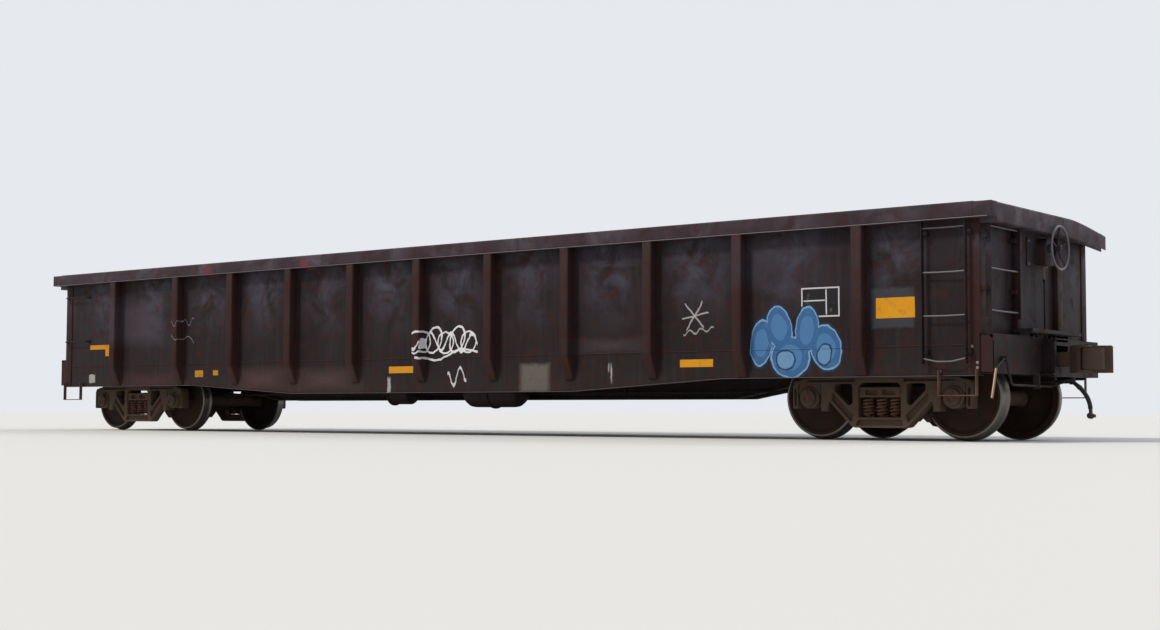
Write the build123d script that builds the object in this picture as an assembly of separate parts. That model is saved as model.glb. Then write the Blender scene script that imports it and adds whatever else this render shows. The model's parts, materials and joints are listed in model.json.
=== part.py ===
from build123d import *
import math
import os

# Open gondola wagon in millimetres. X runs along the wagon, the hand brake end at +X.
# Z = 0 is the tip of the wheel flanges, so levels are given above the rail head plus rail_top.

# Wheels and axles
flange_height = 25.4
rail_top = flange_height
wheel_radius = 457.0
flange_radius = wheel_radius + flange_height
wheel_back_gap = 1356.0
rim_width = 145.0
rim_depth = 62.0
wheel_bore_radius = 105.0
hub_radius = 148.0
hub_length = 178.0
plate_thickness = 30.0
axle_mid_radius = 89.0
journal_radius = 78.0
axle_centre = rail_top + wheel_radius
bearing_centre_y = 1003.0
bearing_length = 170.0
bearing_radius = 126.0
bearing_gap = 0.4
end_cap_radius = 92.0
end_cap_depth = 30.0
end_cap_face_y = 1130.0

# Bogie placing
inside_length = 16002.0
bogie_overhang = 1371.5
bogie_centres = inside_length - 2 * bogie_overhang
wheelbase = 1778.0
centre_plate_level = rail_top + 648.0
bogie_turn_gap = 6.0
wheel_sides = 32
hub_sides = 12
bar_sides = 8
plate_sides = 24

# Load space
inside_width = 2896.0
inside_height = 1372.0
sheet = 6.4
floor_thickness = 9.5
floor_level = rail_top + 1125.0
floor_bottom = floor_level - floor_thickness
chord_height = 171.0
chord_wall = 8.0
chord_bend = 16.0
post_depth = 144.0
body_top = floor_level + inside_height
chord_bottom = body_top - chord_height
half_length = inside_length / 2
half_width = inside_width / 2
side_plane = half_width + sheet
post_plane = side_plane + post_depth
end_plane = half_length + sheet

# Side posts: nine evenly spaced and one over each bogie, past a wider bay
post_count = 9
bolster_bay_extra = 279.5
post_pitch = (bogie_centres - 2 * bolster_bay_extra) / (post_count + 1)
post_width = 135.0
post_wall = 6.4
post_taper_top = rail_top + 970.0
post_foot = rail_top + 690.0
post_foot_depth = 24.0
post_bend = 12.0

# Fish-belly side sill
sill_seam = rail_top + 1000.0
sill_web = 9.5
side_sill_end_bottom = rail_top + 673.0
side_sill_mid_bottom = rail_top + 537.0
side_knee_outer = bogie_centres / 2 - 1829.5
side_knee_inner = side_knee_outer - 2230.0
sill_flange_inner = 90.0
sill_flange_outer = 14.0
sill_flange_thickness = 12.0

# Fish-belly centre sill
sill_gap = 328.0
centre_web = 13.0
centre_sill_end_bottom = rail_top + 700.0
centre_sill_mid_bottom = rail_top + 450.0
centre_knee_outer = bogie_centres / 2 - 1029.5
centre_knee_inner = centre_knee_outer - 1400.0
centre_flange_width = 90.0
centre_flange_thickness = 19.0
centre_cover_width = 520.0
centre_cover_thickness = 12.0
roof_lap = 60.0

# Cross members under the floor
stringer_height = 76.0
stringer_width = 60.0
stringer_rows = (520.0, 980.0)
cross_web = 8.0
cross_flange_width = 150.0
cross_flange_thickness = 12.0
bearer_depth = 330.0
cross_end_depth = 190.0
tie_depth = 160.0
tie_end_depth = 120.0
bolster_web_gap = 200.0
bolster_plate_width = 330.0
bolster_plate_thickness = 16.0
bolster_end_bottom = rail_top + 800.0
centre_plate_radius = 178.0
side_bearing_y = 635.0
side_bearing_half = 90.0
side_bearing_width = 60.0
side_bearing_low = rail_top + 672.0

# Ends
end_chord_depth = 208.0
end_chord_height = 215.0
end_chord_drop = 8.0
end_sill_depth = 150.0
end_sill_bottom = rail_top + 700.0
end_sill_wall = 12.0
end_post_y = 560.0
end_post_width = 140.0
end_post_depth = 62.0
corner_post_width = 130.0
corner_post_wall = 12.0
striker_face = end_plane + 302.6
striker_wall = 40.0
striker_height = 300.0

# Couplers
coupler_level = rail_top + 876.0
pulling_face = end_plane + 697.6
coupler_pivot = pulling_face - 855.0
coupler_swing = 7.0
shank_width = 127.0
shank_height = 160.0
head_height = 300.0
head_chamfer = 14.0
knuckle_height = 232.0
knuckle_pin_back = 70.0
knuckle_pin_side = 118.0
knuckle_hub_radius = 56.0
knuckle_pin_radius = 20.5
pin_gap = 0.3

# Ladders, irons and steps
rung_radius = 9.5
stile_width = 64.0
stile_thickness = 10.0
side_ladder_stiles = (end_plane - 617.4, end_plane - 117.4)
side_rungs = (861.0, 1313.0, 1776.0, 2250.0)
end_ladder_stiles = (half_width - 788.0, half_width - 48.0)
end_rungs = (1364.0, 1809.0, 2254.0)
ladder_reach = 70.0
ladder_foot = 50.0
end_ladder_feet = (1589.0, 2147.0)
iron_levels = (1405.0, 2120.0)
iron_ends = (end_plane - 607.4, end_plane - 57.4)
iron_reach = 75.0
step_ends = (end_plane - 457.4, end_plane - 17.4)
step_top = 740.0
step_tread = 462.0
step_bar = 12.0
step_width = 50.0

# Uncoupling levers
lever_radius = 12.0
lever_stand = 46.0
lever_bends = (1500.0, 1235.0, 1100.0)
lever_handle_low = 440.0
lever_handle_top = 745.0
lever_crest = 850.0
lever_run = 580.0
lever_arm = 230.0
lever_rise = 80.0
lever_bracket = 20.0
lever_hanger_y = 420.0

# Hand brake
brake_wheel_radius = 255.0
brake_wheel_rim = 28.0
brake_wheel_dish = 30.0
brake_hub_radius = 36.0
brake_shaft_radius = 16.0
spoke_count = 5
spoke_radius = 11.0
brake_wheel_x = end_plane + 254.6
brake_wheel_y = 100.0
brake_wheel_level = rail_top + 2120.0
gear_box_width = 230.0
gear_box_height = 300.0
gear_box_low = brake_wheel_level - 190.0
gear_box_depth = 130.0
gear_boss = 24.0
gear_boss_radius = 50.0
gear_plate = 12.0
gear_plate_ends = (-240.0, 340.0)
brake_rod_radius = 11.0
platform_level = rail_top + 1190.0
platform_depth = 230.0
platform_ends = (-770.0, 590.0)
platform_thickness = 38.0
platform_slots = 6
platform_rail = 22.0
platform_feet = (-740.0, -300.0, 200.0, 560.0)

# Bogie frame
frame_thickness = 150.0
frame_top = rail_top + 690.0
frame_bottom = rail_top + 118.0
spring_seat_level = rail_top + 234.0
spring_top_level = rail_top + 456.0
window_half = 262.0
window_top = rail_top + 620.0
spring_pitch = window_half * 0.64
spring_radius = spring_pitch * 0.405
spring_turns = 4
spring_waist = 0.84
bolster_top_level = rail_top + 572.0
bolster_gap = 8.0
beam_level = rail_top + 330.0
shoe_gap = 10.0
bolster_belly = 420.0
bolster_belly_low = rail_top + 330.0
bolster_crown = 300.0
bolster_pocket_x = 105.0
rest_gap = 0.3
jaw_half = 150.0
jaw_roof = axle_centre + 158.0
jaw_lip = 20.0
frame_tip = 216.0
inner_leg_low = rail_top + 300.0
outer_leg_low = rail_top + 330.0
pocket_depth = 45.0
frame_bottom_half = window_half + 38.0
frame_shoulder = window_half + 118.0
frame_column = 73.0

signs = (1, -1)
x_ends = {"a": -1, "b": 1}


def box_between(x0, x1, y0, y1, z0, z1):
    centre = ((x0 + x1) / 2, (y0 + y1) / 2, (z0 + z1) / 2)
    return Pos(*centre) * Box(abs(x1 - x0), abs(y1 - y0), abs(z1 - z0))


def side_plate(points, y0, y1):
    # Outline in X and Z, thick along Y
    face = make_face(Polyline(*[(x, y0, z) for x, z in points], close=True))
    return extrude(face, y1 - y0, dir=(0, 1, 0))


def cross_plate(points, x0, x1):
    # Outline in Y and Z, thick along X
    face = make_face(Polyline(*[(x0, y, z) for y, z in points], close=True))
    return extrude(face, x1 - x0, dir=(1, 0, 0))


def flat_plate(points, z0, z1):
    # Outline in X and Y, thick along Z
    face = make_face(Polyline(*[(x, y, z0) for x, y in points], close=True))
    return extrude(face, z1 - z0, dir=(0, 0, 1))


def bar(start, end, radius, sides=bar_sides):
    # Round bar, faceted because so many of them repeat
    way = Vector(*end) - Vector(*start)
    plane = Plane(origin=start, z_dir=way)
    return extrude(plane * RegularPolygon(radius, sides), way.length)


def cylinder_between(start, end, radius):
    # True cylinder, for bores and for the pieces that turn
    way = Vector(*end) - Vector(*start)
    return extrude(Plane(origin=start, z_dir=way) * Circle(radius), way.length)


def bent_bar(points, radius):
    # Bar with mitred corners
    path = Polyline(*points)
    section = Plane(origin=points[0], z_dir=path % 0) * RegularPolygon(radius, bar_sides)
    return sweep(section, path=path, transition=Transition.RIGHT)


def turned(stations, sides):
    # Turned form along Z from (place, radius) stations, with flat facets to keep repeated parts light
    turns = [2 * math.pi * index / sides for index in range(sides)]
    rings = [[(radius * math.cos(a), radius * math.sin(a), place) for a in turns] for place, radius in stations]
    outlines = [rings[0], rings[-1]]
    for low, high in zip(rings, rings[1:]):
        for index in range(sides):
            following = (index + 1) % sides
            outlines.append([low[index], low[following], high[following], high[index]])
    faces = [make_face(Polyline(*points, close=True)).face() for points in outlines]
    return Solid(Shell(faces))


def along_x(solid):
    return Rot(0, 90, 0) * solid


def along_y(solid):
    return Rot(-90, 0, 0) * solid


def disc(x, y, z0, z1, radius, sides=plate_sides):
    return extrude(Pos(x, y, z0) * RegularPolygon(radius, sides), z1 - z0)


def mirrored_x(solid):
    return mirror(solid, Plane.YZ)


def mirrored_y(solid):
    return mirror(solid, Plane.XZ)


def half_turn(solid):
    return Rot(0, 0, 180) * solid


def save(name, solids):
    flat = []
    for solid in solids:
        flat.extend(solid.solids())
    shape = flat[0] if len(flat) == 1 else Compound(children=flat)
    export_step(shape, "parts/" + name + ".step")


os.makedirs("parts", exist_ok=True)


# Underframe
def fish_line(outer, inner, end_level, mid_level, reach):
    # Bottom line of a fish-belly sill from -reach to +reach
    return [
        (-reach, end_level),
        (-outer, end_level),
        (-inner, mid_level),
        (inner, mid_level),
        (outer, end_level),
        (reach, end_level),
    ]


def raised(line, height):
    return [(x, z + height) for x, z in line]


pipe_y = 330.0
pipe_level = rail_top + 640.0
pipe_radius = 17.0
pipe_reach = end_plane + 172.6
pipe_cross = 420.0
pipe_hole_gap = 8.0
pipe_hanger_half = 22.0
pipe_elbow = 28.0
pipe_route = [
    (-pipe_reach, -pipe_y, pipe_level),
    (-pipe_cross, -pipe_y, pipe_level),
    (pipe_cross, pipe_y, pipe_level),
    (pipe_reach, pipe_y, pipe_level),
]

centre_line = fish_line(
    centre_knee_outer, centre_knee_inner, centre_sill_end_bottom, centre_sill_mid_bottom, striker_face
)


def centre_sill():
    # Fish-belly middle and the straight draft sill welded to each end of it
    web_top = floor_bottom - centre_cover_thickness
    web_outline = centre_line + [(striker_face, web_top), (-striker_face, web_top)]
    flange_outline = centre_line + raised(centre_line, centre_flange_thickness)[::-1]
    body = None
    for sign in signs:
        inner = sign * sill_gap / 2
        outer = sign * (sill_gap / 2 + centre_web)
        lip = sign * (sill_gap / 2 + centre_web + centre_flange_width)
        web = side_plate(web_outline, min(inner, outer), max(inner, outer))
        flange = side_plate(flange_outline, min(inner, lip), max(inner, lip))
        body = web + flange if body is None else body + web + flange
    half_cover = centre_cover_width / 2
    body += box_between(-end_plane, end_plane, -half_cover, half_cover, web_top, floor_bottom)
    for sign in signs:
        roof_end = sign * striker_face
        body += box_between(
            sign * (end_plane - roof_lap), roof_end, -sill_gap / 2, sill_gap / 2,
            web_top - centre_cover_thickness, web_top,
        )
        half_ring = sill_gap / 2 + centre_web + striker_wall
        ring_low = coupler_level - striker_height / 2
        ring = box_between(
            sign * (striker_face - striker_wall), roof_end, -half_ring, half_ring,
            ring_low - striker_wall, coupler_level + striker_height / 2 + striker_wall,
        )
        mouth = box_between(
            sign * (striker_face - 2 * striker_wall), roof_end + sign, -sill_gap / 2, sill_gap / 2,
            carrier_top, coupler_level + striker_height / 2,
        )
        carrier = box_between(
            sign * (striker_face - 3 * striker_wall), roof_end, -sill_gap / 2, sill_gap / 2,
            ring_low - striker_wall, carrier_top,
        )
        body = body + ring - mouth + carrier
    body -= cylinder_between(pipe_route[1], pipe_route[2], pipe_radius + pipe_hole_gap)
    middle_room = box_between(-centre_knee_outer, centre_knee_outer, -half_width, half_width, 0, body_top)
    return [body & middle_room] + (body - middle_room).solids()


carrier_top = coupler_level - shank_height / 2 - rest_gap


def body_bolsters():
    top = floor_bottom - stringer_height
    web_face = sill_gap / 2 + centre_web
    reach = side_plane - sill_web
    plate = bolster_plate_thickness
    half_plate = bolster_plate_width / 2
    lip = web_face + centre_flange_width
    bolsters = []
    for end in signs:
        x = end * bogie_centres / 2
        for side in signs:
            line_low = [(side * web_face, centre_sill_end_bottom + centre_flange_thickness)]
            line_low.append((side * lip, line_low[0][1]))
            line_low.append((side * reach, bolster_end_bottom))
            web_outline = line_low + [(side * reach, top), (side * web_face, top)]
            plate_outline = line_low[1:] + [(y, z + plate) for y, z in line_low[:0:-1]]
            shift = bolster_web_gap / 2
            wing = cross_plate(web_outline, x - shift - cross_web, x - shift)
            wing += cross_plate(web_outline, x + shift, x + shift + cross_web)
            wing += cross_plate(plate_outline, x - half_plate, x + half_plate)
            wing += box_between(x - half_plate, x + half_plate, side * web_face, side * reach, top - plate, top)
            wing += box_between(
                x - side_bearing_half, x + side_bearing_half, side * (side_bearing_y - side_bearing_width),
                side * (side_bearing_y + side_bearing_width), side_bearing_low, top - plate,
            )
            bolsters.append(wing)
        saddle = box_between(x - half_plate, x + half_plate, -lip, lip, centre_sill_end_bottom - plate,
                             centre_sill_end_bottom)
        pivot = cylinder_between((x, 0, centre_plate_level), (x, 0, centre_sill_end_bottom - plate),
                                 centre_plate_radius)
        bolsters.extend([saddle, pivot])
    return bolsters


def cross_depths(deep):
    # Depth at the centre sill and at the side sill
    return (bearer_depth, cross_end_depth) if deep else (tie_depth, tie_end_depth)


def cross_low(y, deep):
    # Underside level of a cross member at a distance y from the wagon's centre line
    top = floor_bottom - stringer_height
    web_face = sill_gap / 2 + centre_web
    reach = side_plane - sill_web
    inner, outer = cross_depths(deep)
    return top - inner + (inner - outer) * (y - web_face) / (reach - web_face)


def cross_members():
    top = floor_bottom - stringer_height
    web_face = sill_gap / 2 + centre_web
    reach = side_plane - sill_web
    half_flange = cross_flange_width / 2
    members = []
    for index in range(post_count):
        x = (index - (post_count - 1) / 2) * post_pitch
        deep = index % 2 == 0
        low_in = cross_low(web_face, deep)
        low_out = cross_low(reach, deep)
        for side in signs:
            line_low = [(side * web_face, low_in), (side * reach, low_out)]
            web = cross_plate(line_low + [(side * reach, top), (side * web_face, top)], x - cross_web / 2,
                              x + cross_web / 2)
            thick = cross_flange_thickness
            flange = cross_plate(line_low + [(y, z + thick) for y, z in line_low[::-1]], x - half_flange,
                                 x + half_flange)
            cap = box_between(x - half_flange, x + half_flange, side * web_face, side * reach, top - thick, top)
            members.append(web + flange + cap)
    return members


def floor_stringers():
    stringers = []
    for side in signs:
        for row in stringer_rows:
            low = floor_bottom - stringer_height
            y = side * row
            rail = box_between(-half_length, half_length, y - 5, y + 5, low, floor_bottom)
            rail += box_between(-half_length, half_length, y, y + stringer_width, floor_bottom - 10, floor_bottom)
            rail += box_between(-half_length, half_length, y - stringer_width, y, low, low + 10)
            stringers.append(rail)
    return stringers


def side_sill(side):
    line = fish_line(side_knee_outer, side_knee_inner, side_sill_end_bottom, side_sill_mid_bottom, end_plane)
    web_outline = line + [(end_plane, sill_seam), (-end_plane, sill_seam)]
    flange_outline = line + raised(line, sill_flange_thickness)[::-1]
    web = side_plate(web_outline, side_plane - sill_web, side_plane)
    flange = side_plate(flange_outline, side_plane - sill_flange_inner, side_plane + sill_flange_outer)
    sill = web + flange
    return sill if side > 0 else mirrored_y(sill)


def side_sheet(side):
    sheet_plate = box_between(-end_plane, end_plane, half_width, side_plane, sill_seam, chord_bottom)
    return sheet_plate if side > 0 else mirrored_y(sheet_plate)


def hat_section(depth_plane, width, level):
    # Plan of a pressed hat post at X = 0 on the +Y side, its open side on the sheet
    half = width / 2
    points = [
        (-half, side_plane), (-half, depth_plane - post_bend), (post_bend - half, depth_plane),
        (half - post_bend, depth_plane), (half, depth_plane - post_bend), (half, side_plane),
    ]
    return make_face(Polyline(*[(x, y, level) for x, y in points], close=True))


def post_shell(width, wall):
    foot_plane = side_plane + post_foot_depth
    outer = loft([
        hat_section(foot_plane, width, post_foot),
        hat_section(post_plane, width, post_taper_top),
        hat_section(post_plane, width, chord_bottom),
    ], ruled=True)
    inner = loft([
        hat_section(foot_plane - wall, width - 2 * wall, post_foot + wall),
        hat_section(post_plane - wall, width - 2 * wall, post_taper_top),
        hat_section(post_plane - wall, width - 2 * wall, chord_bottom),
    ], ruled=True)
    return outer - inner


def side_posts(side):
    post = post_shell(post_width, post_wall)
    places = [(index - (post_count - 1) / 2) * post_pitch for index in range(post_count)]
    places += [-bogie_centres / 2, bogie_centres / 2]
    posts = [Pos(x, 0, 0) * post for x in places]
    return posts if side > 0 else [mirrored_y(item) for item in posts]


def tube_section(width, height, bend):
    half_y = width / 2
    half_z = height / 2
    return [
        (-half_y, bend - half_z), (bend - half_y, -half_z), (half_y - bend, -half_z), (half_y, bend - half_z),
        (half_y, half_z - bend), (half_y - bend, half_z), (bend - half_y, half_z), (-half_y, half_z - bend),
    ]


def chord_tube(length, width, height):
    # Along X, centred
    outer = cross_plate(tube_section(width, height, chord_bend), -length / 2, length / 2)
    wall = 2 * chord_wall
    hollow = cross_plate(tube_section(width - wall, height - wall, chord_bend - chord_wall / 2), -length, length)
    return outer - hollow


def top_chords():
    side_width = post_plane - half_width
    side_chord = Pos(0, half_width + side_width / 2, body_top - chord_height / 2) * chord_tube(
        2 * end_plane, side_width, chord_height
    )
    cap_x = end_plane + end_chord_depth
    end_width = cap_x - half_length
    end_high = body_top - end_chord_drop
    end_low = end_high - end_chord_height
    end_tube = Rot(0, 0, 90) * chord_tube(2 * half_width, end_width, end_chord_height)
    end_chord = Pos(half_length + end_width / 2, 0, end_low + end_chord_height / 2) * end_tube
    for side in signs:
        end_chord += box_between(end_plane, cap_x, side * half_width, side * (half_width + chord_wall), end_low,
                                 end_high)
        end_chord += box_between(end_plane, cap_x, side * half_width, side * post_plane, chord_bottom, end_high)
    return [side_chord, mirrored_y(side_chord), end_chord, mirrored_x(end_chord)]


def end_sheets():
    high = body_top - end_chord_drop - end_chord_height
    plate = box_between(half_length, end_plane, -half_width, half_width, floor_bottom, high)
    return [plate, mirrored_x(plate)]


def end_posts():
    high = body_top - end_chord_drop - end_chord_height
    posts = []
    half = end_post_width / 2
    for side in signs:
        y = side * end_post_y
        outer = box_between(end_plane, end_plane + end_post_depth, y - half, y + half, floor_bottom, high)
        hollow = box_between(end_plane, end_plane + end_post_depth - post_wall, y - half + post_wall,
                             y + half - post_wall, floor_bottom, high)
        post = outer - hollow
        posts.extend([post, mirrored_x(post)])
        wall = corner_post_wall
        leg = box_between(half_length - corner_post_width, end_plane, side * side_plane,
                          side * (side_plane + wall), side_sill_end_bottom + sill_flange_thickness, chord_bottom)
        leg += box_between(half_length - 1, end_plane + wall, side * side_plane, side * (side_plane + wall),
                           floor_bottom, high)
        leg += box_between(end_plane, end_plane + wall, side * (side_plane - corner_post_width),
                           side * (side_plane + wall), floor_bottom, high)
        posts.extend([leg, mirrored_x(leg)])
    return posts


def end_sill(end):
    x1 = end_plane + end_sill_depth
    wall = end_sill_wall
    face = box_between(x1 - wall, x1, -half_width, half_width, end_sill_bottom, floor_bottom)
    face += box_between(end_plane, x1, -half_width, half_width, floor_bottom - wall, floor_bottom)
    face += box_between(end_plane, x1, -half_width, half_width, end_sill_bottom, end_sill_bottom + wall)
    web_face = sill_gap / 2 + centre_web
    slot = box_between(end_plane - 1, x1 + 1, -web_face - centre_flange_width, web_face + centre_flange_width,
                       end_sill_bottom - 1, end_sill_bottom + wall + centre_flange_thickness)
    slot += box_between(end_plane - 1, x1 + 1, -web_face, web_face, end_sill_bottom - 1, floor_bottom)
    sill = face - slot
    return sill if end > 0 else mirrored_x(sill)


# Ladders, irons and steps
def side_ladder():
    # +X end of the -Y side
    low = rail_top + side_rungs[0] - 60
    face = -side_plane
    out = face - ladder_reach
    stiles = [box_between(x - stile_thickness / 2, x + stile_thickness / 2, out - stile_width / 2,
                          out + stile_width / 2, low, chord_bottom) for x in side_ladder_stiles]
    ladder = stiles[0] + stiles[1]
    for x in side_ladder_stiles:
        on_corner = x + ladder_foot > half_length - corner_post_width
        foot = face - corner_post_wall if on_corner else face
        for level in (side_rungs[0] + 60, side_rungs[-1] - 60):
            ladder += box_between(x - stile_thickness / 2, x + ladder_foot, out, foot, rail_top + level - 25,
                                  rail_top + level + 25)
    for level in side_rungs:
        z = rail_top + level
        ladder += bar((side_ladder_stiles[0], out, z), (side_ladder_stiles[1], out, z), rung_radius)
    return ladder


def end_ladder():
    low = rail_top + end_rungs[0] - 70
    high = body_top - end_chord_drop - end_chord_height
    out = end_plane + corner_post_wall + ladder_reach
    ladder = None
    for y in end_ladder_stiles:
        stile = box_between(out - stile_width / 2, out + stile_width / 2, -y - stile_thickness / 2,
                            -y + stile_thickness / 2, low, high)
        foot = end_plane + (corner_post_wall if y > half_width - corner_post_width else 0)
        for level in end_ladder_feet:
            stile += box_between(foot, out, -y - ladder_foot, -y + stile_thickness / 2, rail_top + level - 25,
                                 rail_top + level + 25)
        ladder = stile if ladder is None else ladder + stile
    for level in end_rungs:
        z = rail_top + level
        ladder += bar((out, -end_ladder_stiles[0], z), (out, -end_ladder_stiles[1], z), rung_radius)
    return ladder


def grab_irons():
    irons = []
    near, far = iron_ends
    face = -side_plane
    for level in iron_levels:
        z = rail_top + level
        points = [(-near, face, z), (-near, face - iron_reach, z), (-far, face - iron_reach, z),
                  (-far, face - corner_post_wall, z)]
        iron = bent_bar(points, rung_radius)
        irons.extend([iron, half_turn(iron)])
    return irons


def sill_steps():
    steps = []
    for side in signs:
        y = side * (side_plane + sill_flange_outer)
        x0, x1 = step_ends
        tread = rail_top + step_tread
        top = rail_top + step_top
        step = box_between(x0, x0 + step_bar, y, y + side * step_width, tread, top)
        step += box_between(x1 - step_bar, x1, y, y + side * step_width, tread, top)
        step += box_between(x0, x1, y, y + side * step_width, tread, tread + step_bar)
        for x in (x0, x1 - step_bar):
            foot = side_plane + (corner_post_wall if x > half_length - corner_post_width else 0)
            step += box_between(x, x + step_bar, side * foot, y, side_sill_end_bottom + 20, top)
        steps.extend([step, mirrored_x(step)])
    return steps


def uncoupling_lever():
    # +X end, handle on the -Y side, its arm under the coupler's lock
    face = end_plane + end_sill_depth
    x = face + lever_stand
    handle_y, crest_y, drop_y = lever_bends
    points = [
        (x, -handle_y - 110, rail_top + lever_handle_low), (x, -handle_y, rail_top + lever_handle_top),
        (x, -crest_y - 65, rail_top + lever_crest), (x, -crest_y, rail_top + lever_crest),
        (x, -drop_y - 90, rail_top + (lever_crest + lever_run) / 2), (x, -drop_y, rail_top + lever_run),
        (x, -60, rail_top + lever_run), (x + lever_arm, 0, rail_top + lever_run + lever_rise),
    ]
    lever = bent_bar(points, lever_radius)
    half = lever_bracket / 2
    upper_y = -crest_y - half - lever_bracket
    upper = box_between(face, x + lever_bracket, upper_y - half, upper_y + half, rail_top + lever_crest - 30,
                        rail_top + lever_crest + 30)
    upper -= cylinder_between((x, upper_y - 30, rail_top + lever_crest), (x, upper_y + 30, rail_top + lever_crest),
                  lever_radius + rest_gap)
    lower_y = -lever_hanger_y
    lower = box_between(face - end_sill_wall, x + lever_bracket, lower_y - half, lower_y + half,
                        rail_top + lever_run - 30, end_sill_bottom)
    lower -= cylinder_between((x, lower_y - 30, rail_top + lever_run), (x, lower_y + 30, rail_top + lever_run),
                  lever_radius + rest_gap)
    return [lever, upper, lower]


# Hand brake
def brake_wheel():
    half = brake_wheel_rim / 2
    radius = brake_wheel_radius
    rim = turned([(-half, radius - 7), (-half / 3, radius), (half / 3, radius), (half, radius - 7)], plate_sides)
    rim -= disc(0, 0, -brake_wheel_rim, brake_wheel_rim, radius - brake_wheel_rim)
    wheel = rim + disc(0, 0, -brake_wheel_dish - 25, -brake_wheel_dish + 15, brake_hub_radius, bar_sides)
    reach = radius - brake_wheel_rim / 2
    for index in range(spoke_count):
        angle = math.radians(90 + index * 360 / spoke_count)
        tip = (reach * math.cos(angle), reach * math.sin(angle), 0)
        wheel += bar((0, 0, -brake_wheel_dish), tip, spoke_radius)
    shaft_start = end_plane + gear_box_depth + gear_boss + rest_gap - brake_wheel_x
    wheel += bar((0, 0, shaft_start), (0, 0, -brake_wheel_dish), brake_shaft_radius)
    return Pos(brake_wheel_x, brake_wheel_y, brake_wheel_level) * along_x(wheel)


def brake_gear_housing():
    # Round-topped gear case with its shaft boss, on the plate that bolts to the end
    half = gear_box_width / 2
    y, z = brake_wheel_y, brake_wheel_level
    x0, x1 = end_plane + gear_plate, end_plane + gear_box_depth
    lower = box_between(x0, x1, y - half, y + half, gear_box_low, z)
    upper = bar((x0, y, z), (x1, y, z), half, plate_sides)
    boss = bar((x1, y, z), (x1 + gear_boss, y, z), gear_boss_radius, hub_sides)
    low_y, high_y = gear_plate_ends
    plate = box_between(end_plane, x0, low_y, high_y, gear_box_low - 20, gear_box_low + gear_box_height)
    return lower + upper + boss + plate


def hand_brake_rod():
    x = end_plane + gear_box_depth / 2
    y = brake_wheel_y
    rod = bar((x, y, floor_bottom), (x, y, gear_box_low), brake_rod_radius)
    clevis = disc(x, y, gear_box_low - 180, gear_box_low - 60, 2 * brake_rod_radius, bar_sides)
    return rod + clevis


def brake_platform():
    # Slotted step in front of the end posts, on four feet that stand on the end sill
    low, high = platform_ends
    z1 = platform_level
    z0 = z1 - platform_thickness
    x0 = end_plane + end_post_depth
    x1 = x0 + platform_depth
    deck = box_between(x0, x1, low, high, z0, z1)
    rod_x = end_plane + gear_box_depth / 2
    rod_half = 2 * brake_rod_radius + 6
    deck -= box_between(x0 - 1, rod_x + rod_half, brake_wheel_y - rod_half, brake_wheel_y + rod_half, z0 - 1, z1 + 1)
    pitch = (platform_depth - platform_rail) / platform_slots
    for index in range(1, platform_slots):
        slot_x = x0 + platform_rail + index * pitch
        for start, end in ((low, brake_wheel_y), (brake_wheel_y, high)):
            deck -= box_between(slot_x, slot_x + pitch - platform_rail / 2, start + platform_rail,
                                end - platform_rail, z0 - 1, z1 + 1)
    for y in platform_feet:
        deck += box_between(x0, end_plane + end_sill_depth, y - 10, y + 10, floor_bottom, z0)
    return deck


# Air brake gear under the floor
gear_top = floor_bottom - stringer_height
gear_y = 620.0
gear_bar = 40.0
tank_x = post_pitch - 680.0
tank_radius = 200.0
tank_length = 980.0
tank_level = rail_top + 347.0 + tank_radius
cylinder_x = 70.0 - post_pitch
cylinder_radius = 150.0
cylinder_length = 480.0
cylinder_level = rail_top + 389.0 + cylinder_radius
push_rod_radius = 20.0
push_rod_length = 150.0
valve_x = -pipe_cross
valve_level = rail_top + 760.0
valve_box = (170.0, 220.0, 260.0)
valve_portion_radius = 80.0
valve_portion_length = 90.0
rod_rows = (300.0, 430.0)
rod_radius = 12.0
rod_reach = bogie_centres / 2 - wheelbase / 2 - 200.0
rod_guide = 16.0
lever_half = 40.0
lever_thickness = 20.0


def bearer(x):
    # Cross bar under the floor stringers, from the centre sill to the outer one
    return box_between(x - gear_bar / 2, x + gear_bar / 2, -stringer_rows[1], -sill_gap / 2 - centre_web,
                       gear_top - gear_bar, gear_top)


def hung(x, y, z, spread, solid):
    # A tank or valve under two cross bars, each with a flat strap
    for shift in (-spread, spread):
        solid += bearer(x + shift)
        solid += box_between(x + shift - gear_bar / 2, x + shift + gear_bar / 2, y - gear_bar, y + gear_bar, z,
                             gear_top - gear_bar)
    return solid


def air_reservoir():
    half = tank_length / 2
    neck = tank_radius / 2
    shell = turned([(-half, neck), (neck - half, tank_radius), (half - neck, tank_radius), (half, neck)], hub_sides)
    shell += disc(0, 0, -14, 14, tank_radius + 20, hub_sides)
    place = Pos(tank_x, -gear_y, tank_level)
    return hung(tank_x, -gear_y, tank_level + neck, tank_length / 4, place * along_x(shell))


def brake_cylinder():
    # Push rod towards -X
    half = cylinder_length / 2
    barrel = turned([
        (-half, cylinder_radius / 3), (-half / 2, cylinder_radius), (half - 30, cylinder_radius),
        (half, cylinder_radius - 40),
    ], hub_sides)
    barrel += disc(0, 0, -half / 2 - 12, -half / 2 + 12, cylinder_radius + 20, hub_sides)
    barrel += bar((0, 0, -half - push_rod_length), (0, 0, -half), push_rod_radius)
    place = Pos(cylinder_x, -gear_y, cylinder_level)
    return hung(cylinder_x + half / 2, -gear_y, cylinder_level + half / 3, half / 5, place * along_x(barrel))


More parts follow.
